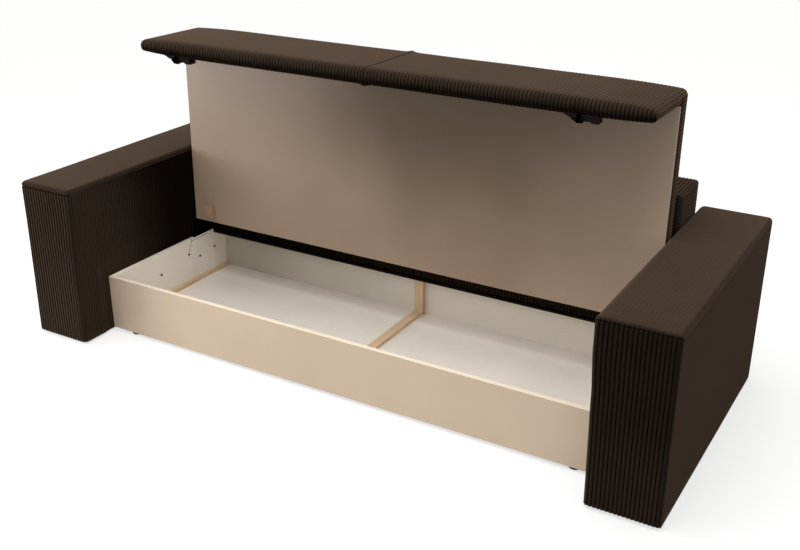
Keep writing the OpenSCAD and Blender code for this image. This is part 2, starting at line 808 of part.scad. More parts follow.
// Guide shoes that run on the side walls of the box, between the seat and the arms
module guide_shoes() {
    both_sides() color(plastic_black) difference() {
        cuboid([shoe_in_x, shoe_front_y, box_top + fit], [shoe_out_x, shoe_back_y, shoe_top_z]);
        shoe_screw_holes();
    }
}

// A flat cheek of a caster housing that holds the axle
module housing_cheek(x) {
    rod_x(x, x + cheek_t, caster_axis_y, caster_axis_z, cheek_r);
    cuboid([x, apron_rear_y, caster_axis_z], [x + cheek_t, caster_axis_y + cheek_r, housing_top_z]);
}

// Moulded housing of a caster, fixed to the inner face of the apron
module caster_housing(x) {
    color(plastic_black) raised() translate([x, 0, 0]) difference() {
        union() {
            cuboid([-housing_left, apron_rear_y, housing_bottom_z],
                [housing_right, apron_rear_y + housing_plate_t, housing_top_z]);
            housing_cheek(cheek_in);
            housing_cheek(-cheek_out);
            translate([0, 0, housing_bottom_z]) linear_extrude(housing_len) polygon([
                [-housing_left, apron_rear_y],
                [-cheek_in, apron_rear_y],
                [-cheek_in, housing_rear_y],
                [-cheek_out - cheek_t, housing_rear_y]
            ]);
            cuboid([housing_right - housing_block_w, apron_rear_y, housing_bottom_z],
                [housing_right, housing_rear_y, housing_top_z]);
            cuboid([cheek_in, apron_rear_y, housing_bottom_z],
                [housing_right, housing_rear_y - housing_notch, housing_top_z]);
        }
        rod_x(-cheek_out - housing_left, cheek_out + overrun, caster_axis_y, caster_axis_z,
            axle_r + hole_fit);
        rod_x(-cheek_in, cheek_in, caster_axis_y, caster_axis_z, wheel_r + wheel_gap / 2);
    }
}

// Steel axle of a caster
module caster_axle(x) {
    color(steel_grey) raised() rod_x(x - cheek_out, x + cheek_out, caster_axis_y, caster_axis_z, axle_r);
}

// Plastic wheel of a caster, which turns on its axle
module caster_wheel(x) {
    color(plastic_black) raised() difference() {
        rod_x(x - wheel_w / 2, x + wheel_w / 2, caster_axis_y, caster_axis_z, wheel_r);
        rod_x(x - wheel_w, x + wheel_w, caster_axis_y, caster_axis_z, axle_r + pin_fit);
    }
}

mirror([1, 0, 0]) arm_cover();  // arm_left_cover
arm_cover();  // arm_right_cover
mirror([1, 0, 0]) arm_inner_board();  // arm_left_inner_board
arm_inner_board();  // arm_right_inner_board
mirror([1, 0, 0]) arm_outer_board();  // arm_left_outer_board
arm_outer_board();  // arm_right_outer_board
mirror([1, 0, 0]) arm_end_boards();  // arm_left_end_boards
arm_end_boards();  // arm_right_end_boards
mirror([1, 0, 0]) arm_top_board();  // arm_left_top_board
arm_top_board();  // arm_right_top_board
mirror([1, 0, 0]) arm_corner_blocks();  // arm_left_corner_blocks
arm_corner_blocks();  // arm_right_corner_blocks
arm_linings();
arm_glides();
box_front_panel();
box_front_edging();
mirror([1, 0, 0]) box_side_panel();  // box_left_panel
box_side_panel();  // box_right_panel
box_back_panel();
box_floor_rails();
mirror([1, 0, 0]) box_floor_sheet();  // box_floor_left
box_floor_sheet();  // box_floor_right
mirror([1, 0, 0]) floor_side_batten();  // floor_batten_left
floor_side_batten();  // floor_batten_right
floor_batten_centre();
back_wall_batten();
box_feet();
box_screws();
backrest_cover();
backrest_foam();
backrest_end_boards();
backrest_rails();
backrest_base_board();
backrest_spacers();
backrest_bolts();
seat_base_panel();
seat_long_rails();
seat_cross_rails();
seat_foam();
seat_cover();
apron_board();
apron_cover();
seat_stop_blocks();
seat_hinge_plates();
seat_hinge_screws();
caster_housing(-caster_left_x);  // caster_left_housing
caster_housing(caster_right_x);  // caster_right_housing
caster_axle(-caster_left_x);  // caster_left_axle
caster_axle(caster_right_x);  // caster_right_axle
caster_wheel(-caster_left_x);  // caster_left_wheel
caster_wheel(caster_right_x);  // caster_right_wheel
hinge_pins();
shoe_brackets();
shoe_screws();
guide_shoes();
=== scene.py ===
"""Storage sofa with a seat that slides and lifts: covers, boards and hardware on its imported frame."""

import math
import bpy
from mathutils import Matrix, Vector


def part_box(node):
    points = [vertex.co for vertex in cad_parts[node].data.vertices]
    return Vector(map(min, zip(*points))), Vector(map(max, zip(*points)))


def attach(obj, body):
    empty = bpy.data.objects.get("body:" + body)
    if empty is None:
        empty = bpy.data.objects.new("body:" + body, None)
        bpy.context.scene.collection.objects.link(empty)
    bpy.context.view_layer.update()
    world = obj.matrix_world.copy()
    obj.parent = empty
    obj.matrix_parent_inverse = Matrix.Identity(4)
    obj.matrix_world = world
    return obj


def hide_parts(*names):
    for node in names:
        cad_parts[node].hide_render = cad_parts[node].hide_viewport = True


bl_info = {
    "name": "Storage Sofa",
    "version": (1, 0, 0),
    "blender": (4, 5, 0),
    "location": "View3D > Sidebar > Sofa",
    "description": "Dresses the frame of a storage sofa in wide-rib corduroy, laminate and pine",
    "category": "Object",
}

import bmesh
import bpy
from bpy.props import FloatProperty, FloatVectorProperty, IntProperty, PointerProperty
from mathutils import Matrix, Vector, noise

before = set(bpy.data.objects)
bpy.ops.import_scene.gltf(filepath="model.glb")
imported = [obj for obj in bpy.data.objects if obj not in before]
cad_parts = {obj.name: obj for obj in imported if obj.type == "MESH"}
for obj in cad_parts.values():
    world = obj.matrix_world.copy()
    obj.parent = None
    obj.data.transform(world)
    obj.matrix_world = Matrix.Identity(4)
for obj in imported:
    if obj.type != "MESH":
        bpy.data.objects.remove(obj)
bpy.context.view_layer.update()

ARM_LOW, ARM_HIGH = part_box("arm_right_cover")
BACK_LOW, BACK_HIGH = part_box("backrest_cover")
PIN_LOW, PIN_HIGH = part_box("hinge_pins")
WALL_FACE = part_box("box_left_panel")[1].x

# Pencil marks on the inner face of the box's left wall: their ends, in metres
MARK_SCREW = (WALL_FACE, 0.079, 0.170)
MARK_CORNER = (WALL_FACE, 0.099, 0.212)
MARK_TOP = (WALL_FACE, 0.100, 0.2195)
MARK_SIDE = (WALL_FACE, 0.197, 0.213)

# The hinge line, and the turn from the closed seat to the raised seat
PIN_Y = (PIN_LOW.y + PIN_HIGH.y) / 2
PIN_Z = (PIN_LOW.z + PIN_HIGH.z) / 2
LIFT = math.radians(90.7)
RAISED = (Matrix.Translation((0, PIN_Y, PIN_Z)) @ Matrix.Rotation(-LIFT, 4, "X")
          @ Matrix.Translation((0, -PIN_Y, -PIN_Z)))

# The closed seat, as the part has it
SEAT_END = 0.9525
SEAT_FRONT = -0.519
SEAT_REAR = 0.235
SEAT_PAD_Z = 0.257
SEAT_TOP = 0.337
APRON_REAR = -0.478
APRON_BOTTOM = 0.010
WHEEL_PLACES = [sum(corner.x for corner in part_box(f"caster_{side}_wheel")) / 2
                for side in ("left", "right")]

# Height of the raised panel's lower edge
RAISED_FOOT = PIN_Z - (SEAT_REAR - PIN_Y)

# A row of a cover lies on a flat face where its outward way reaches this far along an axis
FLAT = 0.99

# How far the crests of the ribs lie under the plain form of a cover
CREST_DROP = 0.0005

# How deep the rims of the long strips and of the end panels are tucked in
STRIP_TUCK, PANEL_TUCK = 0.006, 0.008


class SofaCover(bpy.types.PropertyGroup):
    """Sizes and colours of the corduroy"""

    rib_pitch: FloatProperty(
        name="Rib pitch", description="Distance between two ribs of the corduroy",
        default=0.0125, min=0.004, max=0.03, unit="LENGTH")
    rib_height: FloatProperty(
        name="Rib height", description="Height of a rib above its grooves",
        default=0.0030, min=0.0005, max=0.006, unit="LENGTH")
    rib_steps: IntProperty(
        name="Rib steps", description="Faces across one rib", default=6, min=4, max=12)
    row_length: FloatProperty(
        name="Row length", description="Length of one face along a rib",
        default=0.026, min=0.005, max=0.1, unit="LENGTH")
    seam_width: FloatProperty(
        name="Seam width", description="Distance between the two stitch lines of the middle seam",
        default=0.010, min=0.002, max=0.02, unit="LENGTH")
    pad_cell: FloatProperty(
        name="Pad cell", description="Size of one cell of the simulated covers",
        default=0.022, min=0.01, max=0.1, unit="LENGTH")
    pad_pressure: FloatProperty(
        name="Pad pressure", description="Pressure of the padding under the simulated covers",
        default=4, min=0)
    cover_stiffness: FloatProperty(
        name="Cover stiffness", description="How hard the simulated covers are to bend", default=0.5, min=0)
    cover_ease: FloatProperty(
        name="Cover ease", description="Share by which the simulated covers are cut larger than their place",
        default=0.01, min=0, max=0.1)
    ridge_colour: FloatVectorProperty(
        name="Ridge colour", description="Colour of the pile on top of the ribs",
        default=(0.0232, 0.0160, 0.0112), size=3, min=0, max=1, subtype="COLOR")
    # The groove colour is partly the pile's own darker foot and partly painted shade in the grooves
    groove_colour: FloatVectorProperty(
        name="Groove colour", description="Colour of the pile between the ribs",
        default=(0.0014, 0.0010, 0.0008), size=3, min=0, max=1, subtype="COLOR")


class SofaBoards(bpy.types.PropertyGroup):
    """Colours of the boards, sheets and battens"""

    front_colour: FloatVectorProperty(
        name="Front laminate", description="Colour of the laminate on the box front",
        default=(0.67, 0.525, 0.382), size=3, min=0, max=1, subtype="COLOR")
    edging_colour: FloatVectorProperty(
        name="Edging", description="Colour of the edging on the box front",
        default=(0.86, 0.74, 0.59), size=3, min=0, max=1, subtype="COLOR")
    # The panel under the seat is pale near its edges, with a darker, warmer pool of painted shade at its
    # upper middle
    underside_pale: FloatVectorProperty(
        name="Underside, pale", description="Colour of the panel under the seat, near its edges",
        default=(0.360, 0.262, 0.187), size=3, min=0, max=1, subtype="COLOR")
    underside_painted_shade: FloatVectorProperty(
        name="Underside, dark", description="Colour of the panel under the seat, at its upper middle",
        default=(0.096, 0.056, 0.021), size=3, min=0, max=1, subtype="COLOR")
    # The marked wall is set paler than the box's other white laminate: painted light
    wall_colour: FloatVectorProperty(
        name="White side wall", description="Colour of the marked wall at the left",
        default=(0.92, 0.85, 0.75), size=3, min=0, max=1, subtype="COLOR")
    white_colour: FloatVectorProperty(
        name="White laminate", description="Colour of the walls inside the box",
        default=(0.70, 0.645, 0.56), size=3, min=0, max=1, subtype="COLOR")
    # The back wall is pale at the right, with a pool of painted shade at its left
    back_pale: FloatVectorProperty(
        name="Back wall, pale", description="Colour of the box's back wall at the right",
        default=(0.75, 0.695, 0.605), size=3, min=0, max=1, subtype="COLOR")
    back_painted_shade: FloatVectorProperty(
        name="Back wall, dark", description="Colour of the box's back wall at the left",
        default=(0.47, 0.435, 0.36), size=3, min=0, max=1, subtype="COLOR")
    floor_colour: FloatVectorProperty(
        name="White hardboard", description="Colour of the sheets on the box floor",
        default=(0.92, 0.845, 0.755), size=3, min=0, max=1, subtype="COLOR")
    pine_pale: FloatVectorProperty(
        name="Pine, pale", description="Pale wood between the grain lines",
        default=(0.70, 0.51, 0.32), size=3, min=0, max=1, subtype="COLOR")
    pine_dark: FloatVectorProperty(
        name="Pine, dark", description="Dark wood of the grain lines",
        default=(0.42, 0.26, 0.13), size=3, min=0, max=1, subtype="COLOR")


class SofaStage(bpy.types.PropertyGroup):
    """Floor, lamps and camera around the sofa"""

    camera_place: FloatVectorProperty(
        name="Camera place", description="Where the camera stands",
        default=(1.7757, -2.9031, 1.8041), size=3, unit="LENGTH")
    camera_yaw: FloatProperty(
        name="Camera yaw", description="Turn of the view to the left of straight ahead",
        default=0.52896, unit="ROTATION")
    camera_pitch: FloatProperty(
        name="Camera pitch", description="Turn of the view below the horizon",
        default=0.41306, unit="ROTATION")
    camera_roll: FloatProperty(
        name="Camera roll", description="Turn of the picture about the view",
        default=0.00309, unit="ROTATION")
    camera_lens: FloatProperty(
        name="Camera lens", description="Focal length on a sensor 36 mm wide",
        default=47.43, min=10, max=200)
    floor_colour: FloatVectorProperty(
        name="Floor", description="Colour of the floor",
        default=(0.36, 0.36, 0.355), size=3, min=0, max=1, subtype="COLOR")
    floor_glow: FloatProperty(
        name="Floor glow", description="How much paler the floor looks to the camera", default=0.63, min=0)
    key_strength: FloatProperty(
        name="Key lamp", description="Strength of the broad soft lamp, up at the left", default=0.53, min=0)
    key_spread: FloatProperty(
        name="Key spread", description="How broad the soft lamp is", default=1.05, unit="ROTATION")
    side_power: FloatProperty(
        name="Side lamp", description="Power of the soft lamp at the left", default=15.4, min=0)
    fill_power: FloatProperty(
        name="Fill lamp", description="Power of the soft lamp at the right", default=1, min=0)
    top_power: FloatProperty(
        name="Top lamp", description="Power of the soft lamp overhead", default=59, min=0)
    sky_strength: FloatProperty(
        name="Sky", description="Strength of the even light from all around", default=0.79, min=0)


# Node helpers


class Nodes:
    """Places nodes in one tree, left to right, and joins them"""

    def __init__(self, tree):
        self.tree = tree
        self.count = 0

    def add(self, kind, settings=None, **inputs):
        """A node of that kind; an input is a value, or a socket to join to it"""
        node = self.tree.nodes.new(kind)
        node.location = (200 * self.count, 0)
        self.count += 1
        for key, value in (settings or {}).items():
            setattr(node, key, value)
        for key, value in inputs.items():
            socket = node.inputs[int(key[1:])] if key[0] == "_" else node.inputs[key.replace("_", " ")]
            if isinstance(value, bpy.types.NodeSocket):
                self.tree.links.new(value, socket)
            elif hasattr(value, "__len__") and len(value) == 3 and socket.type == "RGBA":
                socket.default_value = (*value, 1)
            else:
                socket.default_value = value
        return node

    def math(self, operation, a, b=0.0):
        """The result of one sum"""
        return self.add("ShaderNodeMath", {"operation": operation}, _0=a, _1=b).outputs[0]

    def blend(self, share, a, b, kind="MIX"):
        """Colour a turning to colour b by a share"""
        node = self.add("ShaderNodeMix", {"data_type": "RGBA", "blend_type": kind})
        for socket, value in ((node.inputs[0], share), (node.inputs[6], a), (node.inputs[7], b)):
            if isinstance(value, bpy.types.NodeSocket):
                self.tree.links.new(value, socket)
            elif socket.type == "RGBA":
                socket.default_value = (*value, 1)
            else:
                socket.default_value = value
        return node.outputs[2]

    def shaded(self, colour, tint):
        """A colour made paler or darker by a number"""
        shade = self.add("ShaderNodeCombineColor", None, Red=tint, Green=tint, Blue=tint).outputs[0]
        return self.blend(1.0, colour, shade, "MULTIPLY")

    def vector(self, operation, a, b, output=0):
        """The result of one sum of vectors: output 0 is a vector, and output 1 a number"""
        return self.add("ShaderNodeVectorMath", {"operation": operation}, _0=a, _1=b).outputs[output]

    def noise(self, place, scale, detail=2.0, roughness=0.5):
        """Soft noise between 0 and 1"""
        return self.add("ShaderNodeTexNoise", None, Vector=place, Scale=scale, Detail=detail,
                        Roughness=roughness).outputs[0]

    def spread(self, value, low, high, to_low=0.0, to_high=1.0):
        """A value stretched from one span to another, and held inside it"""
        return self.add("ShaderNodeMapRange", None, Value=value, From_Min=low, From_Max=high,
                        To_Min=to_low, To_Max=to_high).outputs[0]


def effect(name, inputs, outputs):
    """A new shader node group: its tree, its inputs' node and its outputs' node"""
    tree = bpy.data.node_groups.new(name, "ShaderNodeTree")
    kinds = {"COLOUR": "NodeSocketColor", "VALUE": "NodeSocketFloat", "PLACE": "NodeSocketVector"}
    for label, kind, default in inputs:
        socket = tree.interface.new_socket(label, in_out="INPUT", socket_type=kinds[kind])
        if default is not None:
            socket.default_value = (*default, 1) if kind == "COLOUR" else default
    for label, kind in outputs:
        tree.interface.new_socket(label, in_out="OUTPUT", socket_type=kinds[kind])
    nodes = Nodes(tree)
    return nodes, nodes.add("NodeGroupInput"), nodes.add("NodeGroupOutput")


def join(nodes, out, **values):
    """Joins values to the outputs of an effect"""
    for key, value in values.items():
        nodes.tree.links.new(value, out.inputs[key])


def finish_for(name):
    """A new empty material: its nodes, its shader and a node with the object's coordinates"""
    material = bpy.data.materials.new(name)
    material.use_nodes = True
    material.node_tree.nodes.clear()
    nodes = Nodes(material.node_tree)
    where = nodes.add("ShaderNodeTexCoord")
    shader = nodes.add("ShaderNodeBsdfPrincipled")
    end = nodes.add("ShaderNodeOutputMaterial")
    nodes.tree.links.new(shader.outputs[0], end.inputs[0])
    return material, nodes, shader, where.outputs["Object"]


def placed(nodes, name, **inputs):
    """An effect placed in a material with its own values"""
    node = nodes.add("ShaderNodeGroup", {"node_tree": bpy.data.node_groups[name]})
    for key, value in inputs.items():
        socket = node.inputs[key.replace("_", " ")]
        if isinstance(value, bpy.types.NodeSocket):
            nodes.tree.links.new(value, socket)
        elif socket.type == "RGBA":
            socket.default_value = (*value, 1)
        else:
            socket.default_value = value
    return node


def wire(nodes, shader, skin, depth=None, colour=None, **plain):
    """Joins an effect to the shader, its height as a bump of that depth, and sets the plain values.
    A colour takes the place of the effect's own"""
    nodes.tree.links.new(colour or skin.outputs["Colour"], shader.inputs["Base Color"])
    nodes.tree.links.new(skin.outputs["Roughness"], shader.inputs["Roughness"])
    if depth is not None:
        bump = nodes.add("ShaderNodeBump", None, Strength=1.0, Distance=depth, Height=skin.outputs["Height"])
        nodes.tree.links.new(bump.outputs[0], shader.inputs["Normal"])
    for key, value in plain.items():
        socket = shader.inputs[key.replace("_", " ")]
        socket.default_value = (*value, 1) if socket.type == "RGBA" else value


# Effects


def make_grain_effect():
    """Wood grain that runs along the X axis of the place it is given"""
    nodes, given, out = effect(
        "wood_grain",
        [("Place", "PLACE", None), ("Pale", "COLOUR", (0.6, 0.45, 0.3)),
         ("Dark", "COLOUR", (0.4, 0.25, 0.12)), ("Contrast", "VALUE", 0.6)],
        [("Colour", "COLOUR"), ("Height", "VALUE"), ("Roughness", "VALUE")])
    long_way = nodes.add("ShaderNodeMapping", None, Vector=given.outputs["Place"],
                         Scale=(1.2, 16.0, 16.0)).outputs[0]
    bend = nodes.noise(long_way, 1.6, 2.0)
    rings = nodes.add("ShaderNodeTexWave", {"wave_type": "BANDS", "bands_direction": "Y"},
                      Vector=long_way, Scale=3.1, Distortion=5.0, Detail=2.0, Detail_Scale=1.2)
    line = nodes.math("POWER", rings.outputs["Fac"], 2.2)
    fibre_way = nodes.add("ShaderNodeMapping", None, Vector=given.outputs["Place"],
                          Scale=(14.0, 900.0, 900.0)).outputs[0]
    fibre = nodes.noise(fibre_way, 1.0, 3.0)
    share = nodes.math("MULTIPLY", line, given.outputs["Contrast"])
    share = nodes.math("ADD", share, nodes.spread(fibre, 0.35, 0.75, -0.06, 0.16))
    colour = nodes.blend(share, given.outputs["Pale"], given.outputs["Dark"])
    colour = nodes.shaded(colour, nodes.spread(bend, 0.3, 0.7, 0.9, 1.08))
    join(nodes, out, Colour=colour, Height=fibre, Roughness=nodes.spread(fibre, 0.3, 0.7, 0.55, 0.72))


def make_skin_effect():
    """Skin of a coated board: faint clouds, fine specks and a slight orange peel"""
    nodes, given, out = effect(
        "board_skin",
        [("Place", "PLACE", None), ("Colour", "COLOUR", (0.7, 0.7, 0.7)), ("Clouds", "VALUE", 0.06),
         ("Specks", "VALUE", 0.05), ("Gloss", "VALUE", 0.4)],
        [("Colour", "COLOUR"), ("Height", "VALUE"), ("Roughness", "VALUE")])
    place = given.outputs["Place"]
    cloud = nodes.spread(nodes.noise(place, 3.5, 3.0), 0.3, 0.7, -1.0, 1.0)
    speck = nodes.spread(nodes.noise(place, 420.0, 2.0, 0.7), 0.35, 0.65, -1.0, 1.0)
    tint = nodes.math("MULTIPLY", cloud, given.outputs["Clouds"])
    tint = nodes.math("ADD", tint, nodes.math("MULTIPLY", speck, given.outputs["Specks"]))
    colour = nodes.shaded(given.outputs["Colour"], nodes.math("ADD", tint, 1.0))
    rough = nodes.math("ADD", given.outputs["Gloss"], nodes.math("MULTIPLY", speck, 0.01))
    join(nodes, out, Colour=colour, Height=nodes.noise(place, 900.0, 1.0), Roughness=rough)


def make_pile_effect():
    """Pile of the corduroy: dark grooves, partly the pile's own darker foot and partly painted shade, paler
    ridges, brushed patches and fine fibres. The rib it reads carries the painted light and shade of the
    covers
    """
    nodes, given, out = effect(
        "corduroy_pile",
        [("Place", "PLACE", None), ("Rib", "VALUE", 1.0), ("Ridge", "COLOUR", (0.05, 0.03, 0.02)),
         ("Groove", "COLOUR", (0.01, 0.01, 0.01))],
        [("Colour", "COLOUR"), ("Height", "VALUE"), ("Roughness", "VALUE")])
    place = given.outputs["Place"]
    brushed = nodes.spread(nodes.noise(place, 7.0, 3.0, 0.6), 0.3, 0.7, 0.86, 1.14)
    fibre = nodes.noise(place, 1100.0, 2.0, 0.7)
    tuft = nodes.noise(place, 260.0, 2.0, 0.6)
    share = nodes.math("POWER", given.outputs["Rib"], 1.3)
    share = nodes.math("MULTIPLY", share, nodes.spread(tuft, 0.25, 0.75, 0.72, 1.1))
    colour = nodes.blend(share, given.outputs["Groove"], given.outputs["Ridge"])
    colour = nodes.shaded(colour, nodes.math("MULTIPLY", brushed, nodes.spread(fibre, 0.2, 0.8, 0.8, 1.2)))
    height = nodes.math("ADD", nodes.math("MULTIPLY", fibre, 0.5), tuft)
    join(nodes, out, Colour=colour, Height=height, Roughness=nodes.spread(fibre, 0.3, 0.7, 0.85, 0.97))


def make_weave_effect():
    """Plain weave of a thin cloth"""
    nodes, given, out = effect(
        "plain_weave",
        [("Place", "PLACE", None), ("Thread", "COLOUR", (0.03, 0.03, 0.03)), ("Count", "VALUE", 900.0)],
        [("Colour", "COLOUR"), ("Height", "VALUE"), ("Roughness", "VALUE")])
    waves = []
    for axis in ("X", "Y"):
        wave = nodes.add("ShaderNodeTexWave", {"wave_type": "BANDS", "bands_direction": axis},
                         Vector=given.outputs["Place"], Scale=given.outputs["Count"], Distortion=0.6)
        waves.append(wave.outputs["Fac"])
    weave = nodes.math("MAXIMUM", waves[0], waves[1])
    dust = nodes.noise(given.outputs["Place"], 30.0, 3.0)
    tint = nodes.math("MULTIPLY", nodes.spread(weave, 0.0, 1.0, 0.55, 1.1),
                      nodes.spread(dust, 0.3, 0.7, 0.85, 1.15))
    join(nodes, out, Colour=nodes.shaded(given.outputs["Thread"], tint), Height=weave,
         Roughness=nodes.spread(dust, 0.3, 0.7, 0.82, 0.95))


def make_moulding_effect():
    """Moulded plastic or plated steel: fine texture and scuffed patches"""
    nodes, given, out = effect(
        "moulded_skin",
        [("Place", "PLACE", None), ("Colour", "COLOUR", (0.02, 0.02, 0.02)),
         ("Scuffs", "VALUE", 0.2), ("Gloss", "VALUE", 0.4)],
        [("Colour", "COLOUR"), ("Height", "VALUE"), ("Roughness", "VALUE")])
    place = given.outputs["Place"]
    grit = nodes.noise(place, 1500.0, 2.0)
    scuff = nodes.spread(nodes.noise(place, 45.0, 4.0, 0.65), 0.48, 0.72)
    pale = nodes.blend(0.35, given.outputs["Colour"], (0.5, 0.5, 0.5))
    share = nodes.math("MULTIPLY", scuff, given.outputs["Scuffs"])
    rough = nodes.math("ADD", given.outputs["Gloss"], nodes.math("MULTIPLY", scuff, 0.2))
    join(nodes, out, Colour=nodes.blend(share, given.outputs["Colour"], pale), Height=grit, Roughness=rough)


def make_pencil_effect():
    """A pencil line from one place to another: 1 on the line, broken up by the grain of the board"""
    nodes, given, out = effect(
        "pencil_line",
        [("Place", "PLACE", None), ("From", "PLACE", None), ("To", "PLACE", None), ("Width", "VALUE", 0.001)],
        [("Mask", "VALUE")])
    a = nodes.vector("SUBTRACT", given.outputs["Place"], given.outputs["From"])
    b = nodes.vector("SUBTRACT", given.outputs["To"], given.outputs["From"])
    along = nodes.math("DIVIDE", nodes.vector("DOT_PRODUCT", a, b, 1), nodes.vector("DOT_PRODUCT", b, b, 1))
    held = nodes.spread(along, 0.0, 1.0)
    nearest = nodes.add("ShaderNodeVectorMath", {"operation": "SCALE"}, _0=b, Scale=held).outputs[0]
    away = nodes.vector("DISTANCE", a, nearest, 1)
    edge = nodes.math("DIVIDE", away, given.outputs["Width"])
    grain = nodes.spread(nodes.noise(given.outputs["Place"], 900.0, 2.0), 0.3, 0.6, 0.55, 1.0)
    join(nodes, out, Mask=nodes.math("MULTIPLY", nodes.spread(edge, 0.35, 0.65, 1.0, 0.0), grain))


def make_shade_pool_effect():
    """A soft pool of painted shade: 1 at its middle, falling to 0 at its size"""
    nodes, given, out = effect(
        "painted_shade_pool", [("Place", "PLACE", None), ("Middle", "PLACE", None), ("Size", "PLACE", None)],
        [("Share", "VALUE")])
    away = nodes.vector("SUBTRACT", given.outputs["Place"], given.outputs["Middle"])
    away = nodes.vector("DIVIDE", away, given.outputs["Size"])
    reach = nodes.add("ShaderNodeVectorMath", {"operation": "LENGTH"}, _0=away).outputs[1]
    wave = nodes.spread(nodes.noise(given.outputs["Place"], 1.6, 2.0), 0.3, 0.7, -0.12, 0.12)
    share = nodes.add("ShaderNodeMapRange", {"interpolation_type": "SMOOTHSTEP"},
                      Value=nodes.math("ADD", reach, wave), From_Min=0.1, From_Max=1.0,
                      To_Min=1.0, To_Max=0.0)
    join(nodes, out, Share=share.outputs[0])


def make_rim_effect():
    """The pale rim of a raised panel: 1 along its two ends and its foot"""
    nodes, given, out = effect(
        "pale_rim",
        [("Place", "PLACE", None), ("Half", "VALUE", 1.0), ("Foot", "VALUE", 0.3), ("Width", "VALUE", 0.004)],
        [("Share", "VALUE")])
    parts = nodes.add("ShaderNodeSeparateXYZ", None, Vector=given.outputs["Place"]).outputs
    aside = nodes.math("SUBTRACT", given.outputs["Half"], nodes.math("ABSOLUTE", parts[0]))
    above = nodes.math("SUBTRACT", parts[2], given.outputs["Foot"])
    near = nodes.math("DIVIDE", nodes.math("MINIMUM", aside, above), given.outputs["Width"])
    join(nodes, out, Share=nodes.spread(near, 0.7, 1.0, 0.85, 0.0))


def make_chip_effect():
    """Raw chipboard: pressed chips of several browns"""
    nodes, given, out = effect(
        "pressed_chips", [("Place", "PLACE", None)],
        [("Colour", "COLOUR"), ("Height", "VALUE"), ("Roughness", "VALUE")])
    chips = nodes.add("ShaderNodeTexVoronoi", None, Vector=given.outputs["Place"], Scale=190.0,
                      Randomness=1.0)
    tone = nodes.add("ShaderNodeSeparateColor", None, Color=chips.outputs["Color"]).outputs[0]
    join(nodes, out, Colour=nodes.blend(tone, (0.52, 0.37, 0.22), (0.30, 0.19, 0.10)), Height=tone,
         Roughness=nodes.spread(tone, 0.0, 1.0, 0.75, 0.95))


def make_pore_effect():
    """Open pores of cut foam"""
    nodes, given, out = effect(
        "open_pores", [("Place", "PLACE", None)],
        [("Colour", "COLOUR"), ("Height", "VALUE"), ("Roughness", "VALUE")])
    pores = nodes.noise(given.outputs["Place"], 700.0, 3.0, 0.7)
    join(nodes, out, Height=pores, Roughness=nodes.spread(pores, 0.3, 0.7, 0.85, 1.0),
         Colour=nodes.blend(nodes.spread(pores, 0.3, 0.6), (0.45, 0.36, 0.16), (0.74, 0.64, 0.38)))


# Finishes

# Depth of the orange peel on coated boards
BOARD_PEEL = 0.00004


def make_corduroy(settings):
    """Corduroy, which reads how high each point stands on its rib, times the painted light and shade of its
    cover.
    The crests of its pile have more sheen than its foot, and deep painted shade takes sheen away too, so two
    shaders are mixed, each with a plain sheen"""
    material, nodes, crest, place = finish_for("brown_corduroy")
    rib = nodes.add("ShaderNodeAttribute", {"attribute_name": "rib"}).outputs["Fac"]
    pile = placed(nodes, "corduroy_pile", Place=place, Rib=rib, Ridge=settings.ridge_colour,
                  Groove=settings.groove_colour)
    foot = nodes.add("ShaderNodeBsdfPrincipled")
    for shader, sheen in ((crest, 0.26), (foot, 0.03)):
        wire(nodes, shader, pile, 0.0006, Sheen_Weight=sheen, Sheen_Roughness=0.5,
             Sheen_Tint=(0.80, 0.54, 0.38), Specular_IOR_Level=0.0)
    # The mix follows the rib attribute, so painted shade lowers the sheen as well as the colour
    low = nodes.spread(nodes.math("POWER", rib, 1.3), 0.0, 0.88, 1.0, 0.0)
    both = nodes.add("ShaderNodeMixShader", None, _0=low, _1=crest.outputs[0], _2=foot.outputs[0])
    nodes.tree.links.new(both.outputs[0], nodes.tree.get_output_node("ALL").inputs[0])
    return material


def make_wood(name, pale, dark, contrast, turn=(0.0, 0.0, 0.0)):
    """Planed wood whose grain runs along X, or along the axis that the turn brings to X"""
    material, nodes, shader, place = finish_for(name)
    turned = nodes.add("ShaderNodeMapping", None, Vector=place, Rotation=turn).outputs[0]
    grain = placed(nodes, "wood_grain", Place=turned, Pale=pale, Dark=dark, Contrast=contrast)
    wire(nodes, shader, grain, 0.0002, Specular_IOR_Level=0.35)
    return material


def make_board(name, colour, clouds, specks, gloss):
    """Coated board or sheet"""
    material, nodes, shader, place = finish_for(name)
    skin = placed(nodes, "board_skin", Place=place, Colour=colour, Clouds=clouds, Specks=specks, Gloss=gloss)
    wire(nodes, shader, skin, BOARD_PEEL)
    return material


def make_painted_shade_board(name, pale, dark, gloss, middle, size, rim_half=None):
    """Coated board with a darker, warmer pool of painted shade, and where its half length is given, a pale
    rim along its ends and foot that the painted shade leaves clear
    """
    material, nodes, shader, place = finish_for(name)
    pool = placed(nodes, "painted_shade_pool", Place=place, Middle=middle, Size=size)
    colour = nodes.blend(pool.outputs["Share"], pale, dark)
    if rim_half is not None:
        rim = placed(nodes, "pale_rim", Place=place, Half=rim_half, Foot=RAISED_FOOT, Width=0.004)
        colour = nodes.blend(rim.outputs["Share"], colour, pale)
    skin = placed(nodes, "board_skin", Place=place, Colour=colour, Clouds=0.015, Specks=0.05, Gloss=gloss)
    wire(nodes, shader, skin, BOARD_PEEL)
    return material


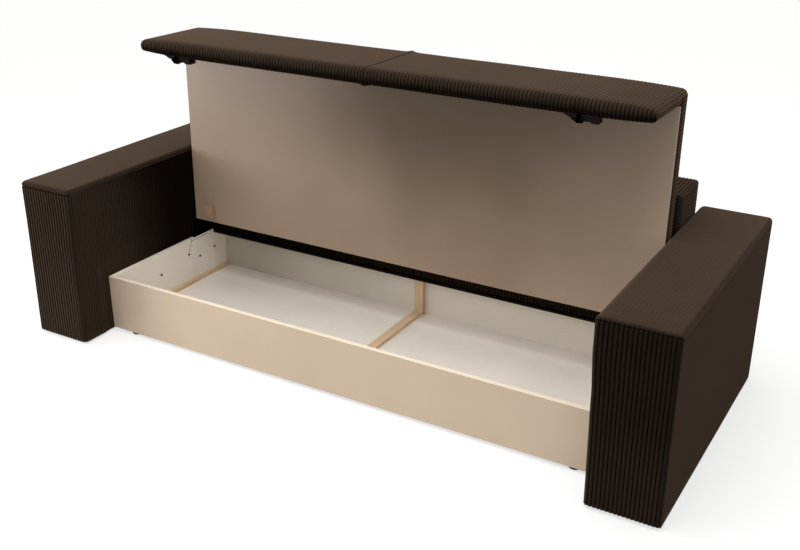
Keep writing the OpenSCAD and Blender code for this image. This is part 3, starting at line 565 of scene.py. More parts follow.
def make_marked_wall(name, colour, marks, width=0.0028):
    """White board with pencil lines on it"""
    material, nodes, shader, place = finish_for(name)
    skin = placed(nodes, "board_skin", Place=place, Colour=colour, Clouds=0.02, Specks=0.02, Gloss=0.5)
    drawn = skin.outputs["Colour"]
    for start, end in marks:
        line = placed(nodes, "pencil_line", Place=place, From=start, To=end, Width=width)
        drawn = nodes.blend(line.outputs["Mask"], drawn, (0.035, 0.032, 0.030))
    wire(nodes, shader, skin, BOARD_PEEL, drawn)
    return material


def make_moulded(name, colour, gloss, scuffs=0.0, metallic=0.0, shine=0.05):
    """Moulded plastic, or steel with its plating"""
    material, nodes, shader, place = finish_for(name)
    skin = placed(nodes, "moulded_skin", Place=place, Colour=colour, Scuffs=scuffs, Gloss=gloss)
    wire(nodes, shader, skin, 0.00003, Metallic=metallic, Specular_IOR_Level=shine)
    return material


def make_cloth(name, colour, count):
    """Thin woven cloth"""
    material, nodes, shader, place = finish_for(name)
    weave = placed(nodes, "plain_weave", Place=place, Thread=colour, Count=count)
    wire(nodes, shader, weave, 0.0002, Specular_IOR_Level=0.1)
    return material


def make_chipboard():
    """Raw chipboard of the hidden frames"""
    material, nodes, shader, place = finish_for("chipboard")
    chips = placed(nodes, "pressed_chips", Place=place)
    wire(nodes, shader, chips, 0.0003)
    return material


def make_foam():
    """Cut foam with open pores"""
    material, nodes, shader, place = finish_for("foam")
    pores = placed(nodes, "open_pores", Place=place)
    wire(nodes, shader, pores, 0.001)
    return material


# Padded forms


def left_of(way):
    """The way turned a quarter to the left"""
    return Vector((-way.y, way.x))


def bent_path(corners, row_length, arc_steps):
    """Rows along straight runs and arcs: [(place, outward, length so far)] in the y-z plane.
    A corner is (y, z, radius); one on a straight run asks for finer rows within its radius"""
    rows = []
    ways = [(Vector(b[:2]) - Vector(a[:2])).normalized() for a, b in zip(corners, corners[1:])]
    starts, arcs = [Vector(corners[0][:2])], []
    for k in range(1, len(corners) - 1):
        corner, radius = Vector(corners[k][:2]), corners[k][2]
        before, after = ways[k - 1], ways[k]
        bend = before.angle_signed(after)
        straight = abs(bend) < 1e-4
        reach = radius if straight else radius * math.tan(abs(bend) / 2)
        middle = None if straight else corner - before * reach - left_of(before) * radius
        arcs.append((corner - before * reach, middle, radius, left_of(before), left_of(after)))
        starts.append(corner + after * reach)
    ends = [arc[0] for arc in arcs] + [Vector(corners[-1][:2])]
    for k, way in enumerate(ways):
        length = (ends[k] - starts[k]).length
        count = max(1, round(length / row_length))
        for i in range(count + 1):
            rows.append((starts[k].lerp(ends[k], i / count), left_of(way)))
        if k < len(arcs):
            first, middle, radius, out_a, out_b = arcs[k]
            for i in range(1, arc_steps):
                out = Vector(out_a.slerp(out_b, i / arc_steps)) if middle else out_a
                place = middle + out * radius if middle else first.lerp(starts[k + 1], i / arc_steps)
                rows.append((place, out))
    path, travelled = [], 0.0
    for k, (place, out) in enumerate(rows):
        travelled += (place - rows[k - 1][0]).length if k else 0.0
        path.append((place, out, travelled))
    return path


def fall(into, radius):
    """How far a quarter round has fallen at a distance into it"""
    share = min(max(into / radius, 0.0), 1.0)
    return radius * (1 - math.sqrt(1 - share * share))


def eased(value):
    """A smooth step from 0 to 1"""
    share = min(max(value, 0.0), 1.0)
    return share * share * (3 - 2 * share)


def ramp(value, start, end):
    """A smooth step from 0 at one value to 1 at another"""
    return eased((value - start) / (end - start))


def hump(away, width, power=2):
    """A smooth hump: 1 at its middle, and falling away beside it"""
    return math.exp(-(away / width) ** power)


def rib_profile(share):
    """Height of a rib, 0 in its grooves and 1 on its crest"""
    return math.sqrt(max(0.0, 1 - (2 * share - 1) ** 2))


def rib_shares(steps):
    """Places across one rib, closer together beside its grooves"""
    return [(1 - math.cos(math.pi * k / steps)) / 2 for k in range(steps)]


def crosswise(half, end_radius, pitch, steps, seam=0.0):
    """Places across a form: [(x, rib height, ring)], where ring is 1 on the middle seam"""
    reach = half - end_radius - seam / 2 + end_radius * math.pi / 2
    count = round(reach / pitch)
    side = []
    for k in range(count):
        for share in rib_shares(steps):
            side.append(((k + share) * reach / count, rib_profile(share)))
    side.append((reach, 0.0))
    places = []
    for run, height in side:
        flat = half - end_radius - seam / 2
        turn = max(0.0, run - flat) / end_radius
        places.append((seam / 2 + min(run, flat) + end_radius * math.sin(turn), height, 0.0))
    middle = [(seam / 2 * (2 * k / 4 - 1), 0.9, 1.0) for k in range(1, 4)] if seam else []
    left = [(-x, height, ring) for x, height, ring in reversed(places)]
    return left + middle + (places if seam else places[1:])


def sewn_grid(name, columns, rows, place, relief, tuck, outward, soft=lambda i, j: False):
    """A ribbed panel with its rim tucked in: place(i, j) is on its smooth form, and relief(i, j) gives
    the height above it and how pale the pile is, with its painted light and shade. A soft rim slides under
    its neighbour without a seam"""
    slide, sink = 0.005, 0.0018
    mesh = bpy.data.meshes.new(name)
    bm = bmesh.new()
    bmesh.ops.create_grid(bm, x_segments=columns + 2, y_segments=rows + 2, size=0.5)
    # The rib attribute holds how pale the pile is: its height on the rib times the painted light and shade
    rib = bm.verts.layers.float.new("rib")
    grid = {}
    for vert in bm.verts:
        i = round((vert.co.x + 0.5) * (columns + 2)) - 1
        j = round((vert.co.y + 0.5) * (rows + 2)) - 1
        grid[i, j] = vert
    for (i, j), vert in grid.items():
        vert.co = place(min(max(i, 0), columns), min(max(j, 0), rows))
    bm.normal_update()
    middle = grid[columns // 2, rows // 2]
    if middle.normal.dot(outward) < 0:
        bmesh.ops.reverse_faces(bm, faces=bm.faces[:])
        bm.normal_update()
    normals = {key: vert.normal.copy() for key, vert in grid.items()}
    places = {key: vert.co.copy() for key, vert in grid.items()}
    for (i, j), vert in grid.items():
        inner = (min(max(i, 0), columns), min(max(j, 0), rows))
        height, share = relief(*inner)
        vert[rib] = share
        if inner != (i, j) and soft(i, j):
            before = (min(max(inner[0], 1), columns - 1), min(max(inner[1], 1), rows - 1))
            vert.co += (places[inner] - places[before]).normalized() * slide
            height -= sink
        # A tucked rim takes the full groove colour: painted shade along the seam
        elif inner != (i, j):
            height -= tuck
            vert[rib] = 0.0
        vert.co = vert.co + normals[inner] * height
    inside = {vert for (i, j), vert in grid.items()
              if (0 <= i <= columns and 0 <= j <= rows) or soft(i, j)}
    for face in bm.faces:
        face.smooth = inside.issuperset(face.verts)
    bmesh.ops.remove_doubles(bm, verts=bm.verts[:], dist=1e-6)
    bm.to_mesh(mesh)
    bm.free()
    return mesh


def joined(name, meshes, turn=None):
    """One object at the origin, made of several meshes"""
    bm = bmesh.new()
    for mesh in meshes:
        bm.from_mesh(mesh)
        bpy.data.meshes.remove(mesh)
    if turn is not None:
        bmesh.ops.transform(bm, matrix=turn, verts=bm.verts[:])
    mesh = bpy.data.meshes.new(name)
    bm.to_mesh(mesh)
    bm.free()
    piece = bpy.data.objects.new(name, mesh)
    bpy.context.collection.objects.link(piece)
    return piece


def dressed(name, meshes, body, covers, turn=None):
    """A padded cover in corduroy, which rides a body in place of the frame's own covers"""
    piece = joined(name, meshes, turn)
    piece.data.materials.append(bpy.data.materials["brown_corduroy"])
    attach(piece, body)
    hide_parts(*covers)


def simulated_swell(width, depth, settings):
    """Cloth simulation of a cover sewn down along its rim and its middle seam, and pressed out by its
    padding. Gives a function of the place across and along it, 0 where it is sewn and 1 at its highest"""
    columns, rows = 2 * round(width / settings.pad_cell / 2), 2 * round(depth / settings.pad_cell / 2)
    mesh = bpy.data.meshes.new("swell")
    bm = bmesh.new()
    bmesh.ops.create_grid(bm, x_segments=columns, y_segments=rows, size=0.5,
                          matrix=Matrix.Diagonal((width, depth, 1, 1)))
    bm.to_mesh(mesh)
    bm.free()
    sheet = bpy.data.objects.new("swell", mesh)
    bpy.context.collection.objects.link(sheet)
    spots = [(round((vert.co.x / width + 0.5) * columns), round((vert.co.y / depth + 0.5) * rows))
             for vert in mesh.vertices]
    sewn = [k for k, (i, j) in enumerate(spots) if i in (0, columns // 2, columns) or j in (0, rows)]
    sheet.vertex_groups.new(name="sewn").add(sewn, 1.0, "REPLACE")
    cloth = sheet.modifiers.new("swell", "CLOTH").settings
    cloth.quality, cloth.mass, cloth.air_damping = 5, 0.3, 3
    cloth.tension_stiffness = cloth.compression_stiffness = 15
    cloth.shear_stiffness, cloth.bending_stiffness = 5, settings.cover_stiffness
    cloth.use_pressure, cloth.uniform_pressure_force = True, settings.pad_pressure
    cloth.shrink_min = -settings.cover_ease
    cloth.effector_weights.gravity = 0
    cloth.vertex_group_mass = "sewn"
    for step in range(1, 21):
        bpy.context.scene.frame_set(step)
    swollen = sheet.evaluated_get(bpy.context.evaluated_depsgraph_get()).to_mesh()
    heights = {spot: vert.co.z for spot, vert in zip(spots, swollen.vertices)}
    bpy.data.objects.remove(sheet)
    bpy.data.meshes.remove(mesh)
    bpy.context.scene.frame_set(1)
    highest = max(heights.values())
    if highest < 0.001:
        raise RuntimeError("the simulated cover did not swell")

    def swell_at(x, y):
        a = min(max((x / width + 0.5) * columns, 0.0), columns - 1e-6)
        b = min(max((y / depth + 0.5) * rows, 0.0), rows - 1e-6)
        i, j = int(a), int(b)
        low = heights[i, j] + (heights[i + 1, j] - heights[i, j]) * (a - i)
        high = heights[i, j + 1] + (heights[i + 1, j + 1] - heights[i, j + 1]) * (a - i)
        return (low + (high - low) * (b - j)) / highest

    return swell_at


def pile_wave(place, out, size=1.0):
    """Small unevenness of the padding under the cloth"""
    return 0.0007 * size * noise.noise(Vector((place.x * 5, place.y * 5, place.z * 5)) + out)


def rib_share(height, depth_share):
    """How pale the pile is at a height on its rib: its grooves are darker, partly the pile's own darker foot
    and partly painted shade, and shallow ribs stay pale in their grooves
    """
    return (1 - (1 - height) * min(1.0, 1.15 * depth_share)) ** 1.5


def strip_mesh(name, path, stations, drops, settings, half, relief_at, held=lambda place: None,
               puff=lambda x, place: Vector(), soft_side=0):
    """The long strip of a cover, which runs along the path and rounds off at both ends.
    Where held gives a way, the ends are drawn in that way alone, so a tight roll keeps its shape.
    Puff gives how far the padding swells out of its plain form, and relief_at gives the lift, the scale
    of the ribs and the tone of the pile, which is painted light and shade. The strip meets the panel on its
    soft side without a seam"""
    front, rear, up, down = drops

    def place(i, j):
        (y, z), out, run = path[j][0], path[j][1], path[j][2]
        x = stations[i][0]
        into = abs(x) - half
        way = held(path[j][0]) or out
        along_y = front if way.x < 0 else rear
        along_z = up if way.y > 0 else down
        sway = 0.0005 * noise.noise(Vector((x * 9, run * 3, 0.3)))
        return Vector((
            x + sway,
            y - way.x * along_y[1] * fall(into + along_y[0], along_y[0]),
            z - way.y * along_z[1] * fall(into + along_z[0], along_z[0]),
        )) + puff(x, path[j][0])

    def relief(i, j):
        x, height, ring = stations[i]
        lift, scale, tone = relief_at(x, path[j], ring)
        depth = settings.rib_height * scale
        uneven = pile_wave(Vector((x, path[j][0].x, path[j][0].y)), Vector((1, 2, 3)))
        return lift + depth * (height - 1) + uneven - CREST_DROP, tone * rib_share(height, scale)

    middle = path[len(path) // 2][1]
    last = len(stations) - 1

    def soft(i, j):
        return 0 <= j < len(path) and ((soft_side > 0 and i > last) or (soft_side < 0 and i < 0))

    outward = Vector((0, middle.x, middle.y))
    return sewn_grid(name, last, len(path) - 1, place, relief, STRIP_TUCK, outward, soft)


def end_panel(name, side, across, along, place_at, settings, depth, bulge=0.0015,
              painted_tone_at=lambda a, b: 1.0, ribs=0, soft=False, soft_low=False):
    """An end panel: ribs lie side by side over the 'across' length, and place_at gives its places.
    The tone is painted light and shade: a lower one darkens the pile toward its groove colour. Its rims may
    be soft, the low one on its own"""
    width, height = across[1] - across[0], along[1] - along[0]
    ribs = ribs or max(1, round(width / settings.rib_pitch))
    shares = rib_shares(settings.rib_steps)
    places = [((k + s) / ribs, rib_profile(s)) for k in range(ribs) for s in shares] + [(1.0, 0.0)]
    rows = max(2, round(height / settings.row_length))

    def place(i, j):
        u, v = places[i][0], j / rows
        return place_at(across[0] + u * width, along[0] + v * height)

    def relief(i, j):
        u, v = places[i][0], j / rows
        swell = bulge * (1 - (2 * u - 1) ** 4) * (1 - (2 * v - 1) ** 4)
        uneven = pile_wave(place(i, j), Vector((3, 1, 2)))
        tone = painted_tone_at(across[0] + u * width, along[0] + v * height)
        return (swell - bulge + depth * (places[i][1] - 1) + uneven - CREST_DROP,
                tone * rib_share(places[i][1], depth / settings.rib_height))

    return sewn_grid(name, len(places) - 1, rows, place, relief, PANEL_TUCK, Vector((side, 0, 0)),
                     lambda i, j: soft and (j >= 0 or soft_low))


# Pieces


class SOFA_OT_finishes(bpy.types.Operator):
    """Makes the finishes and puts them on the carried-over pieces of the frame"""

    bl_idname = "sofa.finishes"
    bl_label = "Finishes"

    def execute(self, context):
        cover, boards = context.scene.sofa_cover, context.scene.sofa_boards
        for make in (make_grain_effect, make_skin_effect, make_pile_effect, make_weave_effect,
                     make_moulding_effect, make_pencil_effect, make_shade_pool_effect, make_rim_effect,
                     make_chip_effect, make_pore_effect):
            make()
        make_corduroy(cover)
        pale, dark = boards.pine_pale, boards.pine_dark
        brighter = [1.25 * value for value in pale]
        deep, tall = (0, 0, math.pi / 2), (0, math.pi / 2, 0)
        wood = {
            "pine_long": make_wood("pine_long", pale, dark, contrast=0.6),
            "pine_deep": make_wood("pine_deep", pale, dark, contrast=0.6, turn=deep),
            "pine_middle": make_wood("pine_middle", brighter, dark, contrast=0.5, turn=deep),
            "pine_tall": make_wood("pine_tall", pale, dark, contrast=0.6, turn=tall),
            "birch": make_wood("birch", (0.36, 0.232, 0.140), (0.26, 0.158, 0.090), contrast=0.5, turn=tall),
        }
        board = {
            "front": make_board("laminate_front", boards.front_colour, clouds=0.03, specks=0.02, gloss=0.42),
            "edging": make_board("edging", boards.edging_colour, clouds=0.02, specks=0.01, gloss=0.38),
            # The panel under the seat and the box's back wall take pools of painted shade
            "underside": make_painted_shade_board(
                "underside_laminate", boards.underside_pale, boards.underside_painted_shade, gloss=0.44,
                middle=(0.22, 0.0, 0.95), size=(0.96, 9.0, 0.90), rim_half=SEAT_END),
            "back_wall": make_painted_shade_board(
                "back_wall_laminate", boards.back_pale, boards.back_painted_shade, gloss=0.5,
                middle=(-1.0, 0.0, 0.14), size=(1.1, 9.0, 1.1)),
            "white": make_board("white_laminate", boards.white_colour, clouds=0.02, specks=0.02, gloss=0.5),
            "marked": make_marked_wall("marked_laminate", boards.wall_colour,
                                       [(MARK_SCREW, MARK_CORNER), (MARK_CORNER, MARK_TOP),
                                        (MARK_CORNER, MARK_SIDE)]),
            "hardboard": make_board("white_hardboard", boards.floor_colour, clouds=0.04, specks=0.04,
                                    gloss=0.5),
        }
        other = {
            "chipboard": make_chipboard(),
            "foam": make_foam(),
            "lining": make_cloth("lining_cloth", (0.012, 0.012, 0.012), count=700.0),
            "lined_board": make_cloth("cloth_lined_board", (0.0045, 0.0035, 0.0028), count=800.0),
            "black_plastic": make_moulded("black_plastic", (0.0062, 0.0047, 0.0036), scuffs=0.02, gloss=0.6),
            "matt_plastic": make_moulded("matt_plastic", (0.0006, 0.0004, 0.0003), gloss=0.8, shine=0.0),
            "dark_screw": make_moulded("dark_screw", (0.07, 0.055, 0.045), scuffs=0.2, gloss=0.4,
                                       metallic=0.6, shine=0.5),
            "zinc_steel": make_moulded("zinc_steel", (0.52, 0.53, 0.55), scuffs=0.2, gloss=0.30,
                                       metallic=1.0, shine=0.5),
            "black_steel": make_moulded("black_steel", (0.0022, 0.0017, 0.0013), gloss=0.7, shine=0.02),
        }
        finishes = {**wood, **board, **other}
        carried = {
            "chipboard": ["arm_left_inner_board", "arm_right_inner_board", "arm_left_outer_board",
                          "arm_right_outer_board", "arm_left_end_boards", "arm_right_end_boards",
                          "arm_left_top_board", "arm_right_top_board", "backrest_end_boards", "apron_board"],
            "pine_tall": ["arm_left_corner_blocks", "arm_right_corner_blocks", "back_wall_batten"],
            "pine_long": ["box_floor_rails", "backrest_rails", "seat_long_rails"],
            "pine_deep": ["floor_batten_left", "floor_batten_right"],
            "pine_middle": ["floor_batten_centre"],
            "birch": ["seat_cross_rails", "seat_stop_blocks"],
            "front": ["box_front_panel"],
            "edging": ["box_front_edging"],
            "white": ["box_right_panel"],
            "back_wall": ["box_back_panel"],
            "marked": ["box_left_panel"],
            "hardboard": ["box_floor_left", "box_floor_right"],
            "underside": ["seat_base_panel"],
            "lining": ["arm_linings"],
            "lined_board": ["backrest_base_board"],
            "foam": ["backrest_foam", "seat_foam"],
            "black_plastic": ["arm_glides", "box_feet", "caster_left_housing", "caster_right_housing"],
            "matt_plastic": ["guide_shoes", "caster_left_wheel", "caster_right_wheel"],
            "dark_screw": ["box_screws"],
            "zinc_steel": ["backrest_spacers", "backrest_bolts", "caster_left_axle", "caster_right_axle",
                           "hinge_pins", "shoe_screws", "seat_hinge_screws"],
            "black_steel": ["seat_hinge_plates", "shoe_brackets"],
        }
        for finish, names in carried.items():
            for name in names:
                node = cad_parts[name]
                for slot in node.material_slots:
                    slot.material = finishes[finish]
        return {"FINISHED"}


class SOFA_OT_arms(bpy.types.Operator):
    """Builds the corduroy covers of both arms"""

    bl_idname = "sofa.arms"
    bl_label = "Arm covers"

    def execute(self, context):
        settings = context.scene.sofa_cover
        low, high = ARM_LOW, ARM_HIGH
        half = (high.x - low.x) / 2
        under, edge = 0.018, 0.016
        seam_half, seam_depth = 0.0028, 0.0030
        # Painted shade on the outer sides of the arms, and on the rolls along their outer edges
        painted_side_tone, painted_corner_tone = 0.56, 0.58
        stations = crosswise(half, edge, settings.rib_pitch, settings.rib_steps)
        round_drop = (edge, 1.0)

        def inner_puff(y, z):
            """How far the padding of the inner face swells, clear of the box and the hinges"""
            front = ramp(y, -0.37, -0.41) * (0.4 + 0.6 * ramp(z, 0.0, 0.4))
            return 0.008 * max(front, ramp(z, 0.25, 0.31)) + 0.006 * ramp(z, 0.36, 0.50)

        def held(place):
            return Vector((math.copysign(1, place.x), 0)) if place.y < low.z + 0.0051 else None

        # Painted light on the fronts: the left arm's front is paler, the right arm's darker
        for side, label, seam_drop, painted_front_tone, outer_puff in (
                (-1, "left", 0.017, 1.14, 0.007), (1, "right", 0.008, 0.74, 0.0)):
            centre = side * (low.x + high.x) / 2
            seam_z = high.z - seam_drop
            # Painted light on the tops: the right arm's top is a little paler
            painted_top_tone = 0.80 if side < 0 else 0.88
            path = bent_path([
                (low.y + under, low.z, 0), (low.y, low.z, 0.005), (low.y, high.z - 0.024, 0.006),
                (low.y, high.z, 0.017), (high.y, high.z, 0.018), (high.y, low.z, 0.005),
                (high.y - under, low.z, 0),
            ], settings.row_length, 10)

            def puff(x, place, side=side, outer_puff=outer_puff):
                share = max(0.0, 0.5 - side * x / (2 * half))
                swell = outer_puff * (1 - share) ** 2 * (1 - eased(place.y / 0.5))
                return Vector((side * (swell - share ** 2 * inner_puff(place.x, place.y)), 0, 0))

            # The tone is painted light and shade: fronts paler lower down, tops paler toward the rear,
            # painted shade in the seam's groove and on the outer roll
            def relief_at(x, row, ring, side=side, seam_z=seam_z, painted_front_tone=painted_front_tone, painted_top_tone=painted_top_tone):
                place, out = row[:2]
                top = ramp(place.y, seam_z, seam_z + 0.004)
                corner = ramp(abs(x), half - edge, half - edge + 0.012)
                scale = (1 - top) * (1.1 - 0.8 * corner) + top * 0.06 * (1 - corner)
                gap = hump(place.y - seam_z, seam_half) if out.x < -0.5 else 0.0
                tone = (1 - top) * painted_front_tone * (0.84 + 0.30 * ramp(place.y, 0.45, 0.0)) + top * (
                    painted_top_tone + 0.10 * ramp(place.x, -0.2, 0.4))
                if side * x > 0:
                    tone += (painted_corner_tone - tone) * corner
                return -seam_depth * gap, scale + 0.5 * gap, tone * (1 - 0.45 * gap)

            meshes = [strip_mesh("strip", path, stations, [round_drop] * 4, settings, half, relief_at, held,
                                 puff, side)]
            meshes[0].transform(Matrix.Translation((centre, 0, 0)))
            for face in (-1, 1):
                plane = centre + face * half
                inner = face == -side

                def place_at(y, z, plane=plane, face=face, inner=inner, outer_puff=outer_puff):
                    swell = inner_puff(y, z) + 0.0008 if inner else outer_puff * (1 - eased(z / 0.5))
                    swell -= fall(z - (high.z - edge), edge)
                    return Vector((plane + face * swell, y, z))

                # Painted shade: the outer side is darker all over, and the inner face is darker a little
                # higher up and much darker toward its rear, as a painted shadow of the raised seat
                def painted_tone_at(y, z, inner=inner):
                    if not inner:
                        return painted_side_tone
                    shade = eased((y + 0.42 - 0.14 * (1 - z / high.z)) / 0.42)
                    return (0.96 - 0.08 * eased((z - 0.2) / 0.35)) * (1 - shade) + 0.14 * shade

                depth = settings.rib_height * (0.38 if inner else 0.14)
                meshes.append(end_panel(
                    "side", face, (low.y + 0.014, high.y - 0.014),
                    (low.z, high.z - (0.008 if inner else edge)), place_at, settings, depth, 0.0, painted_tone_at,
                    soft=not inner))
            dressed(f"arm_{label}_corduroy", meshes, "sofa_base", [f"arm_{label}_cover"])
        return {"FINISHED"}


def apron_lift(x, place, out):
    """How far the padding lifts the apron's cover: even over its face and hem, less under the hem, none
    beside the wheels and at the ends, and fading up the inner face"""
    swell, under_hem, wheel_room = 0.0085, 0.35, 0.022
    hem_top = APRON_BOTTOM + 0.052
    if out.x < -FLAT:
        lift = swell
    elif out.x < 0 < out.y:
        lift = swell * eased(-out.x)
    elif place.y < SEAT_PAD_Z - 0.005:
        lift = swell * ramp(place.y, hem_top, hem_top - 0.03) * (1 - under_hem * max(0.0, -out.y) ** 2)
        for wheel in WHEEL_PLACES:
            lift *= 1 - ramp(out.x, -0.6, 0.4) * hump(x - wheel, wheel_room, 4)
    else:
        lift = 0.0
    return lift * (1 - (x / SEAT_END) ** 10)


def apron_pile(x, place, out):
    """Scale of the ribs and tone of the pile: the apron's face is brushed smooth, most of all at its left.
    The tone is
    painted light and shade: darker as the hem turns under, and on the face a little paler right of the middle
    and darker toward the right end"""
    if out.y < -0.05 and place.y < SEAT_PAD_Z / 2:
        return 0.5 + 0.28 * ramp(out.x, -1.0, -0.4), 1.05 * (1 - 0.75 * ramp(out.x, -0.4, 0.5))
    if out.x < -FLAT:
        brushed = (0.95 - 0.27 * ramp(x, -0.35, 0.65)) * ramp(place.y, 0.020, 0.035)
        return 0.78 * (1 - brushed), 0.86 + 0.04 * ramp(x, 0.1, 0.6) - 0.12 * ramp(x, 0.6, 0.95)
    return 1.0, 0.86


class SOFA_OT_seat(bpy.types.Operator):
    """Builds the corduroy cover of the seat and its apron"""

    bl_idname = "sofa.seat"
    bl_label = "Seat cover"

    def execute(self, context):
        settings = context.scene.sofa_cover
        crown, swell = 0.003, 0.007
        edge_z = SEAT_TOP - crown
        hem_round, front_round, rear_round, foot_round = 0.0195, 0.021, 0.030, 0.005
        side_round, end_round = 0.020, 0.016
        border_ribs, apron_ribs = 0.0026, 0.0024
        seam_line, seam_depth, hem_knob, fold_knob = 0.0011, 0.0014, 0.007, 0.004
        path = bent_path([
            (APRON_REAR, SEAT_PAD_Z - 0.004, 0), (APRON_REAR, APRON_BOTTOM, hem_round),
            (SEAT_FRONT, APRON_BOTTOM, hem_round), (SEAT_FRONT, edge_z, front_round),
            (SEAT_REAR, edge_z, rear_round), (SEAT_REAR, SEAT_PAD_Z, foot_round),
            (SEAT_REAR - 0.03, SEAT_PAD_Z, 0),
        ], settings.row_length, 8)
        stations = crosswise(SEAT_END, side_round, settings.rib_pitch, settings.rib_steps,
                             settings.seam_width)
        drops = [(side_round, 1.0), (0.012, 1.0), (end_round, 1.0), (0.018, 1.0)]
        middle_y = (SEAT_FRONT + SEAT_REAR) / 2
        swell_at = simulated_swell(2 * (SEAT_END - end_round), SEAT_REAR - SEAT_FRONT - 0.050, settings)

        def relief_at(x, row, ring):
            """Lift, rib scale and tone, with the seam's stitch lines, darkened as painted shade, and its
            knobs on the hem and the fold
            """
            place, out = row[:2]
            on_top = out.y > FLAT and out.x >= 0
            lift = swell * swell_at(x, place.x - middle_y) if on_top else apron_lift(x, place, out)
            scale, tone = apron_pile(x, place, out)
            drawn = hump(abs(x) - settings.seam_width / 2, seam_line)
            lift -= seam_depth * drawn
            # Painted shade along the sunk stitch lines
            tone *= 1 - 0.55 * drawn
            on_hem = ramp(place.y, APRON_BOTTOM + 0.022, APRON_BOTTOM + 0.006) * (out.y < -0.05)
            on_fold = ramp(place.y, edge_z - 0.03, edge_z - 0.01) * (out.x < -0.1)
            lift += hem_knob * on_hem * ramp(out.x, -0.3, 0.7) * hump(x, 0.016)
            lift += fold_knob * on_fold * hump(x, 0.017)
            if ring:
                return lift + 0.0012, 0.3, tone
            return lift, scale, tone

        def held(place):
            return Vector((1, 0)) if place.x > 0 and place.y < SEAT_PAD_Z + 0.0051 else None

        meshes = [strip_mesh("strip", path, stations, drops, settings, SEAT_END, relief_at, held)]
        for side in (-1, 1):
            def border(y, z, side=side):
                return Vector((side * SEAT_END, y, z))

            meshes.append(end_panel("border", side, (SEAT_FRONT + 0.022, SEAT_REAR - 0.010),
                                    (SEAT_PAD_Z, edge_z - end_round - 0.001), border, settings,
                                    border_ribs, 0.0, soft=True))
            meshes.append(end_panel("apron_end", side, (SEAT_FRONT + 0.014, APRON_REAR - 0.009),
                                    (APRON_BOTTOM + 0.020, SEAT_PAD_Z), border, settings,
                                    apron_ribs, 0.0, ribs=2, soft=True, soft_low=True))
        dressed("seat_corduroy", meshes, "seat", ["seat_cover", "apron_cover"], RAISED)
        return {"FINISHED"}


class SOFA_OT_backrest(bpy.types.Operator):
    """Builds the corduroy cover of the backrest"""

    bl_idname = "sofa.backrest"
    bl_label = "Backrest cover"

    def execute(self, context):
        settings = context.scene.sofa_cover
        low, high = BACK_LOW, BACK_HIGH
        half = high.x
        crown, side_round, front_round = 0.006, 0.030, 0.025
        end_ribs, seam_depth, seam_half = 0.0026, 0.004, 0.02
        front = low.y + crown
        path = bent_path([
            (front + 0.06, low.z, 0), (front, low.z, 0.006), (front, high.z, front_round),
            (high.y, high.z, 0.016), (high.y, low.z, 0.012), (high.y - 0.05, low.z, 0),
        ], settings.row_length, 8)
        stations = crosswise(half, side_round, settings.rib_pitch, settings.rib_steps, settings.seam_width)
        drops = [(side_round, 0.8), (0.005, 1.0), (0.012, 1.0), (0.010, 1.0)]
        middle_z = (low.z + high.z) / 2
        swell_at = simulated_swell(2 * (half - side_round), high.z - low.z - 0.040, settings)

        def relief_at(x, row, ring):
            """Lift, rib scale and tone: the cover is drawn in at its seam, and painted shade darkens it
            behind the seat
            """
            place, out = row[:2]
            lift = crown * swell_at(x, place.y - middle_z) if out.x < -FLAT else 0.0
            lift -= seam_depth * max(0.0, 1 - abs(x) / seam_half) ** 2
            tone = 0.9
            if out.x < -0.5 and place.y < SEAT_TOP:
                tone -= 0.6 * ramp(x, 0.2, -0.8)
            if ring:
                return lift - 0.0005, 0.6, tone
            return lift, 1.0, tone

        def held(place):
            return Vector((-1, 0)) if place.x < front + 0.07 and place.y < low.z + 0.0061 else None

        meshes = [strip_mesh("strip", path, stations, drops, settings, half, relief_at, held)]
        for side in (-1, 1):
            def place_at(z, y, side=side):
                return Vector((side * half, y, z))

            # The ends' tone is painted light and shade, a little darker than the front's
            meshes.append(end_panel("end", side, (low.z + 0.008, high.z - 0.010),
                                    (front + 0.022, high.y - 0.003), place_at, settings, end_ribs,
                                    painted_tone_at=lambda z, y: 0.85))
        dressed("backrest_corduroy", meshes, "sofa_base", ["backrest_cover"])
        return {"FINISHED"}


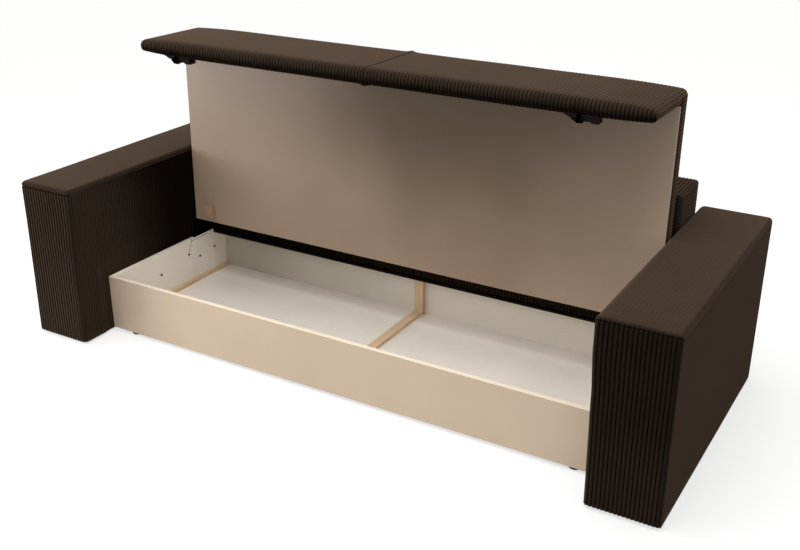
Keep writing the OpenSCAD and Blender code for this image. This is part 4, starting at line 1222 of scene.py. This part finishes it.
class SOFA_OT_stage(bpy.types.Operator):
    """Sets up the floor, the lamps, the sky and the camera"""

    bl_idname = "sofa.stage"
    bl_label = "Stage"

    def execute(self, context):
        scene, stage = context.scene, context.scene.sofa_stage
        scene.view_settings.view_transform = "Standard"
        mesh = bpy.data.meshes.new("floor")
        bm = bmesh.new()
        bmesh.ops.create_grid(bm, x_segments=2, y_segments=2, size=40)
        bm.to_mesh(mesh)
        bm.free()
        floor = bpy.data.objects.new("floor", mesh)
        scene.collection.objects.link(floor)
        material, nodes, shader, place = finish_for("pale_floor")
        skin = placed(nodes, "board_skin", Place=place, Colour=stage.floor_colour, Clouds=0.0, Specks=0.01,
                      Gloss=0.8)
        wire(nodes, shader, skin, Specular_IOR_Level=0.1)
        path = nodes.add("ShaderNodeLightPath").outputs
        seen = nodes.math("MAXIMUM", path["Is Camera Ray"], path["Is Glossy Ray"])
        shader.inputs["Emission Color"].default_value = (1, 1, 1, 1)
        glow = nodes.math("MULTIPLY", seen, stage.floor_glow)
        nodes.tree.links.new(glow, shader.inputs["Emission Strength"])
        mesh.materials.append(material)

        world = bpy.data.worlds.new("studio")
        scene.world = world
        world.use_nodes = True
        world.node_tree.nodes.clear()
        nodes = Nodes(world.node_tree)
        path = nodes.add("ShaderNodeLightPath").outputs
        seen = nodes.math("MAXIMUM", path["Is Camera Ray"], path["Is Glossy Ray"])
        strength = nodes.spread(seen, 0.0, 1.0, stage.sky_strength, 0.97)
        sky = nodes.add("ShaderNodeBackground", None, Color=(1, 1, 1), Strength=strength)
        end = nodes.add("ShaderNodeOutputWorld")
        nodes.tree.links.new(sky.outputs[0], end.inputs[0])

        lamp = bpy.data.lights.new("key_lamp", "SUN")
        lamp.energy, lamp.angle = stage.key_strength, stage.key_spread
        holder = bpy.data.objects.new("key_lamp", lamp)
        scene.collection.objects.link(holder)
        holder.location = (-2.0, -2.5, 4.0)
        holder.rotation_euler = Vector((0.35, 0.45, -0.82)).to_track_quat("-Z", "Y").to_euler()
        for name, place, aim, size, power in (
            ("side_lamp", (-2.25, -1.30, 0.95), (-0.9, 0.0, 0.6), 0.7, stage.side_power),
            ("fill_lamp", (3.2, -3.4, 2.4), (0.0, 0.0, 0.4), 1.8, stage.fill_power),
            ("top_lamp", (0.3, -0.6, 3.4), (0.0, 0.0, 0.2), 2.6, stage.top_power),
        ):
            lamp = bpy.data.lights.new(name, "AREA")
            lamp.shape, lamp.size, lamp.energy = "SQUARE", size, power
            holder = bpy.data.objects.new(name, lamp)
            scene.collection.objects.link(holder)
            holder.location = place
            holder.rotation_euler = (Vector(aim) - Vector(place)).to_track_quat("-Z", "Y").to_euler()

        camera = bpy.data.cameras.new("camera")
        camera.sensor_width = 36
        camera.sensor_fit = "HORIZONTAL"
        camera.lens = stage.camera_lens
        camera.clip_end = 200
        holder = bpy.data.objects.new("camera", camera)
        scene.collection.objects.link(holder)
        yaw, pitch, roll = stage.camera_yaw, stage.camera_pitch, stage.camera_roll
        ahead = Vector((-math.sin(yaw) * math.cos(pitch), math.cos(yaw) * math.cos(pitch), -math.sin(pitch)))
        right = ahead.cross(Vector((0, 0, 1))).normalized()
        up = right.cross(ahead)
        side = math.cos(roll) * right + math.sin(roll) * up
        over = -math.sin(roll) * right + math.cos(roll) * up
        turn = Matrix((side, over, -ahead)).transposed().to_4x4()
        holder.matrix_world = Matrix.Translation(Vector(stage.camera_place)) @ turn
        scene.camera = holder
        return {"FINISHED"}


class SOFA_PT_panel(bpy.types.Panel):
    """Lists the sofa's pieces and settings"""

    bl_idname = "SOFA_PT_panel"
    bl_label = "Storage Sofa"
    bl_space_type = "VIEW_3D"
    bl_region_type = "UI"
    bl_category = "Sofa"

    def draw(self, context):
        for operator in OPERATORS:
            self.layout.operator(operator.bl_idname)
        for name in SETTINGS:
            group = getattr(context.scene, name)
            box = self.layout.box()
            for key in group.bl_rna.properties.keys():
                if key not in ("rna_type", "name"):
                    box.prop(group, key)


OPERATORS = (SOFA_OT_finishes, SOFA_OT_arms, SOFA_OT_seat, SOFA_OT_backrest, SOFA_OT_stage)
SETTINGS = {"sofa_cover": SofaCover, "sofa_boards": SofaBoards, "sofa_stage": SofaStage}


def register():
    """Registers the settings, the operators and the panel"""
    for name, group in SETTINGS.items():
        bpy.utils.register_class(group)
        setattr(bpy.types.Scene, name, PointerProperty(type=group))
    for kind in (*OPERATORS, SOFA_PT_panel):
        bpy.utils.register_class(kind)


def unregister():
    """Removes the panel, the operators and the settings"""
    for kind in (SOFA_PT_panel, *reversed(OPERATORS)):
        bpy.utils.unregister_class(kind)
    for name, group in SETTINGS.items():
        delattr(bpy.types.Scene, name)
        bpy.utils.unregister_class(group)


def main():
    """Builds every piece"""
    register()
    for operator in OPERATORS:
        kind, name = operator.bl_idname.split(".")
        getattr(getattr(bpy.ops, kind), name)()
    bpy.context.view_layer.update()


if __name__ == "__main__":
    main()
